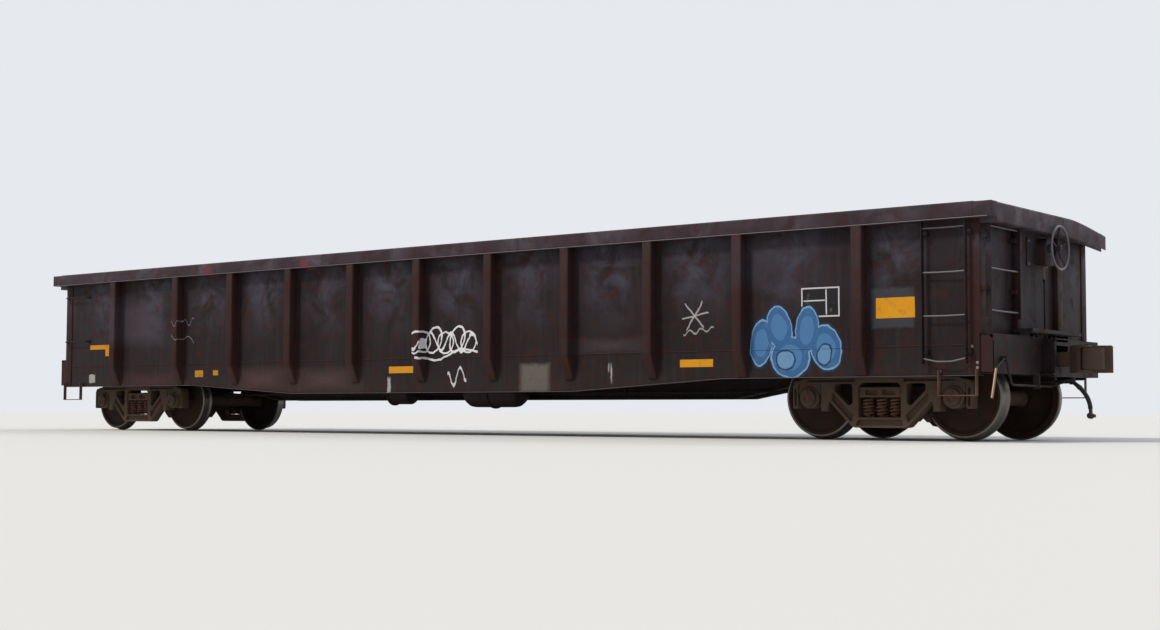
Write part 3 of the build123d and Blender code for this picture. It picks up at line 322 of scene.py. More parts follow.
def weathered(name, paint=None, **changes):
    # Painted steel after years outdoors: faded paint, rust blooms, rain streaks and road dust, with a
    # painted sheen over the upper half
    look = {**bodyLook, **changes}
    material, tree, spot = startMaterial(name)
    parts = addNode(tree, "SeparateXYZ", {0: spot}).outputs
    broad = addNode(tree, "TexNoise", {
        "Vector": spot, "Scale": look["broadScale"], "Detail": 5.0, "Roughness": 0.6})
    # The upper half is painted lighter and bluer as a sheen of sky on the bulging panels, most between the
    # posts, with painted shade near them
    phase = addNode(tree, "Math", {0: parts["X"], 1: 2 * math.pi / postPitch}, operation="MULTIPLY")
    rib = addNode(tree, "Math", {0: phase}, operation="COSINE")
    between = addNode(tree, "MapRange", {
        "Value": rib, "From Min": 0.85, "From Max": -0.9, "To Min": 0.15 * look["hazeShare"],
        "To Max": look["hazeShare"]})
    raised = addNode(tree, "MapRange", {
        "Value": parts["Z"], "From Min": look["sheenLow"], "From Max": look["sheenHigh"], "To Max": between})
    cloudy = addNode(tree, "TexNoise", {
        "Vector": spot, "Scale": look["cloudScale"], "Detail": 6.0, "Roughness": 0.62, "Distortion": 0.6})
    haze = addNode(tree, "MapRange", {
        "Value": cloudy, "From Min": 0.4, "From Max": 0.66, "To Max": raised})
    # Rain streaks run down, about 60 mm apart and a metre long
    tall = addNode(tree, "Mapping", {"Vector": spot, "Scale": (16.0, 16.0, 1.1)})
    streak = addNode(tree, "TexNoise", {"Vector": tall, "Scale": 1.0, "Detail": 4.0, "Roughness": 0.65})
    streaks = addNode(tree, "MapRange", {
        "Value": streak, "From Min": 0.5, "From Max": 0.72, "To Max": look["streak"]})
    # Rust blooms of 50 to 200 mm with a grain of a few millimetres inside them
    patch = addNode(tree, "TexNoise", {
        "Vector": spot, "Scale": look["bloomScale"], "Detail": 8.0, "Roughness": 0.68, "Distortion": 0.4})
    bloom = addNode(tree, "MapRange", {
        "Value": patch, "From Min": 0.62 - look["rustShare"], "From Max": 0.76 - look["rustShare"] * 0.8,
        "To Max": look["bloom"]})
    grain = addNode(tree, "TexNoise", {"Vector": spot, "Scale": look["grainScale"], "Detail": 3.0})
    rust = addNode(tree, "Mix", {0: grain, 6: look["rust"], 7: look["rustDark"]}, data_type="RGBA")
    # Dust gathers low down and in a thin even film
    low = addNode(tree, "MapRange", {
        "Value": parts["Z"], "From Min": look["dustTop"], "From Max": look["dustTop"] - 0.7,
        "To Max": look["dustShare"]})
    film = addNode(tree, "Math", {0: low, 1: broad}, operation="MULTIPLY")
    coats = [(broad, look["faded"]), (haze, look["haze"]), (streaks, look["dust"]), (bloom, rust)]
    if paint:
        coats += paint(tree, spot)
    colour = look["base"]
    for share, coat in coats + [(film, look["soil"])]:
        colour = addNode(tree, "Mix", {0: share, 6: colour, 7: coat}, data_type="RGBA")
    rough = addNode(tree, "MapRange", {
        "Value": bloom, "From Max": 0.9, "To Min": look["rough"], "To Max": 0.93})
    hollow = addNode(tree, "Bump", {"Height": patch, "Strength": 0.35, "Distance": 0.004})
    pitted = addNode(tree, "Bump", {
        "Height": grain, "Strength": look["pits"], "Distance": 0.0015, "Normal": hollow})
    endMaterial(tree, {
        "Base Color": colour, "Roughness": rough, "Normal": pitted, "Specular IOR Level": look["gloss"]})
    return material


# Places are (along the side, level above the flange tips) in metres; each layer covers those before it
sideArt = {
    # Rolled and worn patches, and two of painted sheen: place, half sizes, blur, colour and strength
    "patches": [
        ((7.02, 1.47), (0.255, 0.215), 0.015, "#3d3e45", 0.8),
        ((1.99, 0.76), (0.23, 0.175), 0.03, "#77706b", 0.6),
        ((-7.29, 0.851), (0.08, 0.065), 0.004, "#a8a6a3", 0.85),
        ((3.21, 0.81), (0.011, 0.09), 0.005, "#b9b6b4", 0.7),
        ((3.17, 0.88), (0.009, 0.04), 0.005, "#b9b6b4", 0.6),
        ((-0.59, 0.69), (0.03, 0.1), 0.006, "#b4b2b2", 0.8),
        # The next two soft bluish patches high on the panels are a painted sheen
        ((-6.15, 1.72), (0.55, 0.3), 0.12, "#4d4650", 0.45),
        ((5.5, 2.06), (0.45, 0.22), 0.15, "#474350", 0.4),
        ((-3.2, 0.8), (0.42, 0.12), 0.09, "#5c4241", 0.5),
        ((-1.85, 0.78), (0.45, 0.11), 0.09, "#5a4342", 0.55),
        ((-5.75, 0.78), (0.5, 0.1), 0.08, "#4e2f2c", 0.5),
        ((3.2, 1.15), (0.4, 0.06), 0.05, "#4a4346", 0.5),
        ((-4.3, 2.43), (0.11, 0.08), 0.03, "#6b3237", 0.6),
        ((-2.15, 2.43), (0.09, 0.075), 0.025, "#73363d", 0.65),
    ],
    # Reflective strips, on both sides: place, half sizes and colour
    "strips": [
        ((7.033, 1.446), (0.232, 0.111), "#d2911d"),
        ((4.438, 0.887), (0.234, 0.045), "#cf8e1c"),
        ((-0.391, 0.877), (0.227, 0.045), "#cf8e1c"),
        ((-4.64, 0.875), (0.095, 0.05), "#b5801f"),
        ((-4.256, 0.885), (0.058, 0.038), "#b5801f"),
        ((-7.13, 1.33), (0.25, 0.035), "#c4851c"),
        ((-6.93, 1.245), (0.045, 0.06), "#c4851c"),
    ],
    # A blank stencil box: the white field, the dark field over it, then its white bars
    "stencil": [
        ((6.114, 1.541), (0.241, 0.166), "#c3c2c4"),
        ((6.114, 1.541), (0.225, 0.15), "#242125"),
        ((6.19, 1.541), (0.008, 0.138), "#c3c2c4"),
        ((6.04, 1.56), (0.135, 0.007), "#c3c2c4"),
    ],
    # Sprayed clusters: ellipses as place, radii and turn; rings as field limit, colour and strength
    "clouds": [
        ([((5.36, 1.13), (0.15, 0.27), 0.15), ((5.6, 1.3), (0.17, 0.25), -0.2),
          ((5.74, 0.96), (0.26, 0.24), 0.1), ((5.96, 1.26), (0.15, 0.27), 0.15),
          ((6.2, 1.06), (0.2, 0.26), -0.25)],
         [(1.1, "#18304a", 0.9), (1.0, "#7da0c4", 0.9), (0.92, "#315d8c", 0.95), (0.6, "#4f7dab", 0.7)]),
        ([((5.68, 0.93), (0.13, 0.12), 0.0)], [(1.0, "#172b44", 0.85), (0.84, "#6e96bd", 0.85)]),
        ([((6.18, 0.98), (0.1, 0.13), 0.3)], [(1.0, "#172b44", 0.85), (0.82, "#6890b8", 0.85)]),
    ],
    # Sprayed loops: the outlines of these ellipses, with half the line's width, colour and strength
    "loops": [((0.04, 1.26), (0.13, 0.15), 0.5), ((0.24, 1.29), (0.13, 0.18), 0.5),
              ((0.45, 1.25), (0.14, 0.14), 0.5), ((0.66, 1.29), (0.12, 0.18), 0.5),
              ((0.86, 1.25), (0.13, 0.14), 0.5)],
    "loopLine": (0.011, "#dcdce0", 0.95),
    # Brushed zigzags: base place, half reach, wave length, swing, slope, half width; colour and strength
    "waves": [
        (((0.46, 1.26), 0.56, 0.37, 0.12, -0.06, 0.022), "#dcdce0", 0.95),
        (((0.52, 1.09), 0.5, 0.8, 0.04, 0.12, 0.014), "#dcdce0", 0.95),
        (((0.66, 0.8), 0.17, 0.22, 0.1, 0.3, 0.024), "#d2d2d6", 0.9),
        (((4.45, 1.47), 0.12, 0.6, 0.02, 1.2, 0.017), "#a9a6a5", 0.8),
        (((4.45, 1.47), 0.13, 0.6, -0.02, -0.9, 0.015), "#a9a6a5", 0.8),
        (((4.46, 1.47), 0.19, 0.5, 0.015, 0.1, 0.01), "#a9a6a5", 0.8),
        (((4.5, 1.29), 0.22, 0.16, 0.025, 0.1, 0.01), "#a9a6a5", 0.7),
        (((-5.0, 1.68), 0.24, 0.17, 0.05, 0.1, 0.008), "#8f8a8b", 0.6),
        (((-4.95, 1.45), 0.2, 0.3, 0.04, -0.2, 0.008), "#8f8a8b", 0.55),
    ],
}


def sidePaint(tree, spot):
    # The coats that were stuck, rolled and sprayed over the old paint
    parts = addNode(tree, "SeparateXYZ", {0: spot}).outputs
    facingWay = addNode(tree, "MapRange", {
        "Value": parts["Y"], "From Min": -1.0, "To Min": 1.0, "To Max": -1.0})
    along = addNode(tree, "Math", {0: parts["X"], 1: facingWay}, operation="MULTIPLY")
    flat = addNode(tree, "CombineXYZ", {0: along, 2: parts["Z"]})
    # Only the outer skin was painted, and all but the strips on the near side alone
    near = addNode(tree, "Math", {0: parts["Y"], 1: -outerSkin}, operation="LESS_THAN")
    distance = addNode(tree, "Math", {0: parts["Y"]}, operation="ABSOLUTE")
    outside = addNode(tree, "Math", {0: distance, 1: outerSkin}, operation="GREATER_THAN")
    wobble = addNode(tree, "TexNoise", {"Vector": spot, "Scale": 9.0, "Detail": 4.0})
    worn = addNode(tree, "MapRange", {"Value": wobble, "From Min": 0.3, "From Max": 0.45, "To Min": 0.75})
    brushed = addNode(tree, "VectorMath", {0: wobble.outputs["Color"], 1: (0.05, 0.0, 0.05), 2: flat},
                      operation="MULTIPLY_ADD")
    layers = []
    for place, halves, blur, tone, share in sideArt["patches"]:
        layers.append((boxMask(tree, brushed, place, halves, blur), tone, share, near))
    for key, share, where in (("strips", 1.0, outside), ("stencil", 1.1, near)):
        for place, halves, tone in sideArt[key]:
            layers.append((boxMask(tree, flat, place, halves, 0.001), tone, share, where))
    for blobs, rings in sideArt["clouds"]:
        field = clusterField(tree, brushed, blobs)
        for limit, tone, share in rings:
            inside = addNode(tree, "Math", {0: field, 1: limit}, operation="LESS_THAN")
            layers.append((inside, tone, share, near))
    width, tone, share = sideArt["loopLine"]
    for place, radii, turn in sideArt["loops"]:
        field = ellipseField(tree, brushed, place, radii, turn)
        outline = addNode(tree, "Math", {0: field, 1: 1.0, 2: width / min(radii)}, operation="COMPARE")
        layers.append((outline, tone, share, near))
    for wave, tone, share in sideArt["waves"]:
        layers.append((waveMask(tree, brushed, *wave), tone, share, near))
    coats = []
    for mask, tone, share, where in layers:
        for factor in (worn, where, share):
            mask = addNode(tree, "Math", {0: mask, 1: factor}, operation="MULTIPLY")
        coats.append((mask, tone))
    return coats


# Alkyd enamel on hot-rolled plate, sprayed: dull, chalked and rusting through, with the full painted sheen
# on the sides
sidePaintwork = weathered("weathered_enamel_side", sidePaint, hazeShare=1.0)
bodyPaintwork = weathered("weathered_enamel_body")
# The same enamel on the pressed posts, where loads and rain have brought more rust out
postPaintwork = weathered("rusted_enamel_posts", sidePaint, base="#281616", faded="#382626", haze="#4c434d",
                          rustShare=0.17, bloom=0.6, streak=0.25, rough=0.6)
# The chords face the sky and have chalked to a dull purple, under most of the painted sheen
chordPaintwork = weathered("chalked_enamel_chords", sidePaint, base="#2b1e20", faded="#41353c",
                           haze="#575059", hazeShare=0.8, rustShare=0.12, bloom=0.6, streak=0.3, rough=0.6)
# Hot-rolled plate inside, scoured by scrap: rust with a dull grey shine where it was rubbed
scouredPlate = weathered("scoured_hot_rolled_plate", base="#43352f", faded="#645953", haze="#5f5754",
                         dust="#7d7874", rust="#77513c", rustDark="#4a3328", rustShare=0.17, dustTop=1.6,
                         dustShare=0.45, streak=0.6, pits=0.5, rough=0.5, gloss=0.35)
# Sand-cast steel of the bogies: brown rust with brake dust over it
castSteel = weathered("sand_cast_steel", base="#362c28", faded="#54463d", dust="#5b4e46", rust="#633f2e",
                      rustDark="#38261f", rustShare=0.14, dustTop=0.9, dustShare=0.55, soil="#6f5f4c",
                      rough=0.78, pits=0.6, streak=0.15)
# Black enamel of the brake gear under soot and oil
brakeEnamel = weathered("sooty_enamel_brake_gear", base="#1b1718", faded="#292427", dustTop=1.2)
# Forged wheels, brown from weather under a film of dust
wheelSteel = weathered("forged_wheel_steel", base="#231a17", faded="#332822", dust="#453a33",
                       rust="#4a3126", rustDark="#2a1d18", rustShare=0.22, dustTop=0.7, dustShare=0.3,
                       rough=0.75, streak=0.1, pits=0.35)
# Bare bar where boots have rubbed the paint off, brown again with light rust
stepSteel = weathered("foot_worn_step_steel", base="#4f3c33", faded="#6d564a", rust="#74503a",
                      rustShare=0.25, streak=0.1, dustShare=0.2)
# Spring steel, brown with rust under a little dust
springSteel = weathered("rusted_spring_steel", base="#4a372d", faded="#6a4f3f", rust="#7a4f38",
                        rustShare=0.2, streak=0.05, dustShare=0.3, rough=0.7)
print("weathered paints and steels ready")


def plainMetal(name, hexCode, roughness, metallic, grainScale, bump):
    # A bare or rubbed surface with a fine grain, darker in the grain's hollows
    material, tree, spot = startMaterial(name)
    grain = addNode(tree, "TexNoise", {"Vector": spot, "Scale": grainScale, "Detail": 4.0})
    hollowTone = [c * 0.6 for c in toLinear(hexCode)[:3]] + [1.0]
    colour = addNode(tree, "Mix", {0: grain, 6: hollowTone, 7: hexCode}, data_type="RGBA")
    rough = addNode(tree, "MapRange", {
        "Value": grain, "To Min": roughness - 0.1, "To Max": roughness + 0.12})
    relief = addNode(tree, "Bump", {"Height": grain, "Strength": bump, "Distance": 0.001})
    endMaterial(tree, {"Base Color": colour, "Roughness": rough, "Normal": relief, "Metallic": metallic})
    return material


# The numbers after each colour are roughness, metallic, scale of the grain and strength of its bump
# Rolled tread steel, polished bright by the rail
treadSteel = plainMetal("rail_polished_tread_steel", "#77716b", 0.34, 0.8, 30.0, 0.03)
# Zinc-plated bolts that are younger than the wagon
zincBolt = plainMetal("zinc_plated_steel", "#9a9793", 0.5, 0.6, 60.0, 0.1)
# Black styrene rubber over braid, moulded and dusty
hoseRubber = plainMetal("dusty_hose_rubber", "#2b2a2a", 0.75, 0.0, 40.0, 0.2)
# Malleable iron of the hose couplings, as cast
gladCasting = plainMetal("malleable_iron_gladhand", "#4f4a47", 0.6, 0.5, 50.0, 0.3)
# Uncoupling lever's handle, rubbed bare by hands
leverBright = plainMetal("hand_worn_steel", "#9a7f6c", 0.42, 0.6, 45.0, 0.1)
# Rungs rubbed grey by gloves and boots, made lighter still as a painted highlight; the same pale grey is
# the painted highlight on the brake wheel's rim and the chord lips
wornAndHighlightSteel = plainMetal("worn_steel_painted_highlight", "#6c666b", 0.5, 0.35, 45.0, 0.1)
# A pale line on the sills' flange edges, as a painted highlight
flangeEdgeHighlight = plainMetal("flange_edge_painted_highlight", "#5a4e50", 0.6, 0.2, 45.0, 0.1)

# Pieces that keep their CAD mesh, by finish
plainDress = [
    (sidePaintwork, ("side_sill_left", "side_sill_right")),
    (bodyPaintwork, ("end_sills", "floor_stringers", "cross_members", "center_sill", "body_bolsters",
                     "brake_platform")),
    (scouredPlate, ("floor_plate",)),
    (castSteel, ("draft_gears",)),
    (brakeEnamel, ("train_pipe", "brake_rods", "control_valve", "angle_cocks")),
]
for material, dressed in plainDress:
    for node in dressed:
        nodes[node].data.materials.clear()
        nodes[node].data.materials.append(material)
print("CAD nodes dressed")

# Camera, floor and light
view = {"place": (15.4295, -17.6415, 0.3067), "yawPitchRoll": (38.193, 3.357, 0.149), "lens": 51.51}
yaw, pitch, roll = map(math.radians, view["yawPitchRoll"])
cameraData = bpy.data.cameras.new("viewpoint")
cameraData.lens = view["lens"]
cameraData.sensor_width = 36
cameraData.clip_end = 2000
camera = addObject("viewpoint", cameraData)
camera.matrix_world = (Matrix.Translation(view["place"]) @ Matrix.Rotation(yaw, 4, "Z") @
                       Matrix.Rotation(math.pi / 2 + pitch, 4, "X") @ Matrix.Rotation(roll, 4, "Z"))
bpy.context.scene.camera = camera
bpy.context.scene.view_settings.view_transform = "Standard"

studio = {"floorColour": "#d6d6d3", "floorHalf": 400, "skyColour": "#e6e9ee", "skyStrengths": (0.75, 1.0)}
bm = bmesh.new()
bmesh.ops.create_grid(bm, x_segments=1, y_segments=1, size=studio["floorHalf"])
studioFloor = addObject("studio_floor", toMesh(bm, "studio_floor"))
floorMaterial, tree, spot = startMaterial("pale_floor")
endMaterial(tree, {"Base Color": studio["floorColour"], "Roughness": 0.95, "Specular IOR Level": 0.1})
studioFloor.data.materials.append(floorMaterial)

world = bpy.data.worlds.new("soft_sky")
bpy.context.scene.world = world
world.use_nodes = True
tree = world.node_tree
tree.nodes.clear()
# The first strength lights the wagon, and the second shows behind it and in reflections
rays = addNode(tree, "LightPath").outputs
lit, seen = [addNode(tree, "Background", {"Color": studio["skyColour"], "Strength": strength})
             for strength in studio["skyStrengths"]]
direct = rays["Is Camera Ray"]
for kind in ("Is Glossy Ray", "Is Transmission Ray"):
    direct = addNode(tree, "Math", {0: direct, 1: rays[kind]}, operation="MAXIMUM")
chosen = addNode(tree, "MixShader", {0: direct, 1: lit, 2: seen})
addNode(tree, "OutputWorld", {"Surface": chosen})

lamps = {
    "key_sun": {"strength": 2.0, "spread": 10.0, "aim": (0.35, 0.6, -0.8), "tone": "#fff6ea"},
    "back_sun": {"strength": 0.8, "spread": 25.0, "aim": (-0.25, -0.75, -0.55), "tone": "#eef3ff"},
}
for name, lamp in lamps.items():
    lampData = bpy.data.lights.new(name, "SUN")
    lampData.energy = lamp["strength"]
    lampData.angle = math.radians(lamp["spread"])
    lampData.color = toLinear(lamp["tone"])[:3]
    addObject(name, lampData).matrix_world = facing((0, 0, 20), [-c for c in lamp["aim"]])
print("camera, floor and light set")

# Side and end sheets on a fine grid, pushed out between the posts by shifted loads, and dented by a
# fractal, whose values are its roughness, step in scale and count of layers
sheetLook = {"cell": 0.045, "wall": 0.0064, "dentRise": 2.3, "fractal": (0.9, 2.1, 4), "deepest": -0.002,
             "leastShare": 0.35, "endBayShare": 0.3}
sideSheet = {"bulge": 0.02, "dent": 0.012, "dentScale": 1.7, "ease": 0.8, "margin": 0.075, "low": sillSeam,
             "high": chordBottom, "lap": 0.013, "posts": sorted(postPlaces + [-cornerPlace, cornerPlace])}
endSheet = {"bulge": 0.014, "dent": 0.01, "dentScale": 2.1, "ease": 1.0, "margin": 0.08, "low": floorUnder,
            "high": bodyTop - 0.21, "lap": 0.0, "posts": (-halfWidth, -0.56, 0.56, halfWidth)}


def plateShift(place, z, look, shares, seed):
    # How far a plate stands out of its plane: nothing at posts and seams, or in a bay without a share
    for bay, (left, right) in enumerate(zip(look["posts"], look["posts"][1:])):
        if left < place < right and shares[bay]:
            break
    else:
        return 0.0
    free = max(right - left - 2 * look["margin"], 0.01)
    alongShare = min(max((place - left - look["margin"]) / free, 0), 1)
    upShare = min(max((z - look["low"]) / (look["high"] - look["low"]), 0), 1)
    cover = (math.sin(math.pi * alongShare) * math.sin(math.pi * upShare)) ** look["ease"]
    spot = Vector((place * look["dentScale"], z * sheetLook["dentRise"], seed))
    dent = noise.fractal(spot, *sheetLook["fractal"])
    return max(cover * (look["bulge"] * shares[bay] + look["dent"] * dent), sheetLook["deepest"])


def addDentedPlate(target, look, along, half, normal, plane, shares, seed):
    # A plate that looks along its normal; its inside gets the second material
    bm = bmesh.new()
    height = look["high"] + look["lap"] - look["low"]
    bmesh.ops.create_grid(bm, x_segments=round(2 * half / sheetLook["cell"]),
                          y_segments=round(height / sheetLook["cell"]), size=1.0)
    for vert in bm.verts:
        place = vert.co.x * half
        z = look["low"] + (vert.co.y + 1) / 2 * height
        shift = plateShift(place * sum(along), z, look, shares, seed)
        vert.co = along * place + normal * (plane + shift) + Vector((0, 0, z))
    bmesh.ops.recalc_face_normals(bm, faces=bm.faces)
    if next(iter(bm.faces)).normal.dot(normal) < 0:
        bmesh.ops.reverse_faces(bm, faces=bm.faces)
    bmesh.ops.solidify(bm, geom=bm.faces[:], thickness=sheetLook["wall"])
    for face in bm.faces:
        face.material_index = 1 if face.normal.dot(normal) < -0.5 else 0
    joinInto(target, bm, Matrix.Identity(4))


for sideName, side in (("left", 1), ("right", -1)):
    bays = len(sideSheet["posts"]) - 1
    shares = [sheetLook["leastShare"] + (1 - sheetLook["leastShare"]) *
              noise.cell(Vector((bay * 3.7, side * 5.1, 0.5))) for bay in range(bays)]
    for bay in (0, -1):
        shares[bay] *= sheetLook["endBayShare"]  # the end bays are stiffer
    bm = bmesh.new()
    addDentedPlate(bm, sideSheet, Vector((-side, 0, 0)), endPlane, Vector((0, side, 0)), sidePlane, shares,
                   side * 9.0)
    makePiece(bm, "side_sheet_dented_" + sideName, [sidePaintwork, scouredPlate], "side_sheet_" + sideName)
bm = bmesh.new()
for end, shares in ((1, (1, 0, 1)), (-1, (1, 1, 1))):  # the hand brake's plate keeps its bay flat
    addDentedPlate(bm, endSheet, Vector((0, 1, 0)), halfWidth, Vector((end, 0, 0)), endPlane, shares,
                   end * 7.0)
makePiece(bm, "end_sheets_dented", [bodyPaintwork, scouredPlate], "end_sheets")
print("side and end sheets dented")

# Weld beads: along the seams, beside each post, and across the floor between its plates
bead = {"radius": 0.007, "postRadius": 0.0056, "seams": (sillSeam, chordBottom - 0.004),
        "seamHalf": endPlane - 0.14, "postFoot": railTop + 0.7, "beside": 0.0675,
        "floorPlate": 2.286, "joint": (halfWidth - 0.01, floorLevel - 0.003),
        "edge": (7.99, halfWidth - 0.005)}
bm = bmesh.new()
for face in (sidePlane, -sidePlane):
    for z in bead["seams"]:
        addBar(bm, [(x, face, z) for x in (-bead["seamHalf"], bead["seamHalf"])], bead["radius"])
    for place in postPlaces:
        for x in (place - bead["beside"], place + bead["beside"]):
            addBar(bm, [(x, face, z) for z in (bead["postFoot"], chordBottom)], bead["postRadius"])
makePiece(bm, "side_weld_beads", [postPaintwork])
bm = bmesh.new()
half, z = bead["joint"]
for index in range(-3, 4):
    addBar(bm, [(index * bead["floorPlate"], y, z) for y in (-half, half)], bead["radius"])
half, edgeY = bead["edge"]
for y in (edgeY, -edgeY):
    addBar(bm, [(x, y, floorLevel) for x in (-half, half)], bead["radius"])
makePiece(bm, "floor_weld_beads", [scouredPlate])
print("weld beads laid")

# Top chords: the far half of the brake end's cap is bent down
chordBend = {"start": 0.56, "end": 1.56, "cuts": 7, "cut": 0.125, "drop": 0.11, "ease": 1.4,
             "fixedX": endPlane + 0.01, "capX": endPlane + 0.208}


def bendCap(bm):
    for index in range(chordBend["cuts"]):
        cutPoint = (0, chordBend["start"] + index * chordBend["cut"], 0)
        bmesh.ops.bisect_plane(bm, geom=bm.verts[:] + bm.edges[:] + bm.faces[:], plane_co=cutPoint,
                               plane_no=(0, 1, 0))
    for vert in bm.verts:
        if vert.co.x > chordBend["fixedX"] and vert.co.y > chordBend["start"]:
            share = (vert.co.y - chordBend["start"]) / (chordBend["end"] - chordBend["start"])
            out = (vert.co.x - endPlane) / (chordBend["capX"] - endPlane)
            vert.co.z -= chordBend["drop"] * share ** chordBend["ease"] * out


castCopy("end_posts", postPaintwork, 0.003)
castCopy("top_chords", chordPaintwork, 0.004, reshape=bendCap)
# A pale bar along each side chord's lower edge, up to the bent corner, is a painted highlight
chordLip = {"radius": 0.006, "y": postPlane - 0.003, "z": chordBottom + 0.004, "reach": endPlane + 0.16,
            "bentShort": 0.2}
bm = bmesh.new()
for side, short in ((1, chordLip["bentShort"]), (-1, 0.0)):
    addBar(bm, [(x, side * chordLip["y"], chordLip["z"])
                for x in (-chordLip["reach"], chordLip["reach"] - short)], chordLip["radius"])
makePiece(bm, "chord_lip_highlights", [wornAndHighlightSteel])
# A pale bar on the outer edge of each side sill's lower flange, which follows the fish belly, is a painted
# highlight too
sillEdge = {"radius": 0.004, "y": 1.466, "line": [(endPlane, 0.702), (4.8, 0.702), (2.57, 0.566)]}
bm = bmesh.new()
for side in (1, -1):
    half = [(x, side * sillEdge["y"], z) for x, z in sillEdge["line"]]
    addBar(bm, half + [(-x, y, z) for x, y, z in reversed(half)], sillEdge["radius"])
makePiece(bm, "sill_edge_highlights", [flangeEdgeHighlight])
for sideName in ("left", "right"):
    castCopy("side_posts_" + sideName, postPaintwork, 0.004)
print("chords and posts rounded")

# Gussets between side sill and end sill; outline points are (x past the end, level)
gusset = {"thick": 0.008, "bevel": 0.002,
          "outline": [(0.0, railTop + 0.7), (0.15, railTop + 0.7), (0.15, floorUnder - 0.07),
                      (0.08, floorUnder), (0.0, floorUnder)]}
bm = bmesh.new()
for turnX in (1, -1):
    for turnY in (1, -1):
        addSlab(bm, [(turnX * (endPlane + x), z) for x, z in gusset["outline"]], turnY * gusset["thick"],
                (0, turnY * (halfWidth - gusset["thick"]), 0), gusset["bevel"])
makePiece(bm, "corner_gussets", [postPaintwork])

# Ladders of flat stiles and round rungs; wall(place, away, level) gives a point near their first wall
barRadius = 0.0095
stile = {"thick": 0.01, "wide": 0.064, "bevel": 0.002, "foot": 0.05, "bolt": 0.01}
rungSag = 0.004
ladders = {
    # The lowest side rung at the brake end is bent down
    "side_ladders": {
        "wall": lambda place, away, z: (place, -sidePlane - away, z), "out": 0.07,
        "stiles": ((7.39, 0.0), (7.89, cornerStep)), "low": railTop + 0.801, "high": chordBottom,
        "feet": (0.921, 2.19), "boltShift": 0.025, "rungs": (0.861, 1.313, 1.776, 2.25),
        "bends": ((7.55, 0.0), (7.73, 0.4)), "corner": 0.06, "lowestSag": 0.035},
    "end_ladders": {
        "wall": lambda place, away, z: (endPlane + away, -place, z), "out": cornerStep + 0.07,
        "stiles": ((0.66, 0.0), (1.4, cornerStep)), "low": railTop + 1.294, "high": bodyTop - 0.223,
        "feet": (1.589, 2.147), "boltShift": 0.028, "rungs": (1.364, 1.809, 2.254),
        "bends": ((1.0, 0.0),), "corner": 0.03, "lowestSag": rungSag},
}


def addLadder(target, look, turn, lowestSag):
    # turn is 1 at the first wall and -1 at the opposite one
    def point(place, away, z):
        x, y, z = look["wall"](place, away, z)
        return turn * x, turn * y, z
    out = look["out"]
    outwards = Vector(point(0, 1, 0)) - Vector(point(0, 0, 0))
    (first, _), (last, _) = look["stiles"]
    for place, wallStep in look["stiles"]:
        near, far = place - stile["thick"] / 2, place + stile["thick"] / 2
        addBlock(target, point(near, out - stile["wide"] / 2, look["low"]),
                 point(far, out + stile["wide"] / 2, look["high"]), stile["bevel"])
        for z in (railTop + level for level in look["feet"]):
            addBlock(target, point(near, out, z - stile["foot"] / 2),
                     point(place + stile["foot"], wallStep, z + stile["foot"] / 2))
            addBolt(target, point(place + look["boltShift"], out, z), outwards, stile["bolt"])
    for count, level in enumerate(look["rungs"]):
        z, sag = railTop + level, rungSag if count else lowestSag
        bends = [point(place, out + sag * lean, z - sag) for place, lean in look["bends"]]
        # The rungs take the pale grey, partly a painted highlight
        addBar(target, [point(first, out, z), *bends, point(last, out, z)], barRadius, look["corner"], 1)


for node, look in ladders.items():
    bm = bmesh.new()
    addLadder(bm, look, 1, look["lowestSag"])
    addLadder(bm, look, -1, rungSag)
    makePiece(bm, node + "_round", [bodyPaintwork, wornAndHighlightSteel], node)

grabIron = {"levels": (1.405, 2.12), "feet": ((-7.4, 0.0), (-7.95, cornerStep)), "out": 0.075,
            "pad": 0.028, "padThick": 0.01, "boltShift": 0.017, "bolt": 0.007}
bm = bmesh.new()
for z in (railTop + level for level in grabIron["levels"]):
    out = -sidePlane - grabIron["out"]
    (first, _), (last, lastStep) = grabIron["feet"]
    addBar(bm, [(first, -sidePlane, z), (first, out, z), (last, out, z), (last, -sidePlane - lastStep, z)],
           barRadius)
    for x, wallStep in grabIron["feet"]:
        face, pad = -sidePlane - wallStep, grabIron["pad"]
        addBlock(bm, (x - pad, face - grabIron["padThick"], z - pad), (x + pad, face, z + pad))
        for shift in (-grabIron["boltShift"], grabIron["boltShift"]):
            addBolt(bm, (x, face - grabIron["padThick"], z + shift), (0, -1, 0), grabIron["bolt"])
addHalfTurn(bm)
makePiece(bm, "grab_irons_round", [bodyPaintwork], "grab_irons")

# Uncoupling levers: points are (x from their plane, y, level), brackets (y, lower level, upper level)
lever = {"x": 8.2034, "radius": 0.012, "handleRadius": 0.0138, "corner": 0.045,
         "handle": [(0, -1.61, 0.44), (0, -1.5, 0.745)],
         "route": [(0, -1.5, 0.745), (0, -1.3, 0.85), (0, -1.235, 0.85), (0, -1.19, 0.715),
                   (0, -1.1, 0.58), (0, -0.06, 0.58), (0.23, 0, 0.66)],
         "brackets": ((-1.265, 0.82, 0.88), (-0.42, 0.55, 0.7)), "foot": endPlane + 0.138, "half": 0.01,
         "past": 0.02, "boltShift": (0.012, -0.022, -0.03), "bolt": 0.008}
bm = bmesh.new()
for key, radius, index in (("route", lever["radius"], 0), ("handle", lever["handleRadius"], 1)):
    addBar(bm, [(lever["x"] + x, y, railTop + z) for x, y, z in lever[key]], radius, lever["corner"], index)
for y, low, high in lever["brackets"]:
    addBlock(bm, (lever["foot"], y - lever["half"], railTop + low),
             (lever["x"] + lever["past"], y + lever["half"], railTop + high))
    shiftX, shiftY, shiftZ = lever["boltShift"]
    addBolt(bm, (lever["foot"] + shiftX, y + shiftY, railTop + high + shiftZ), (1, 0, 0), lever["bolt"])
addHalfTurn(bm)
makePiece(bm, "uncoupling_levers_round", [brakeEnamel, leverBright], "uncoupling_levers")
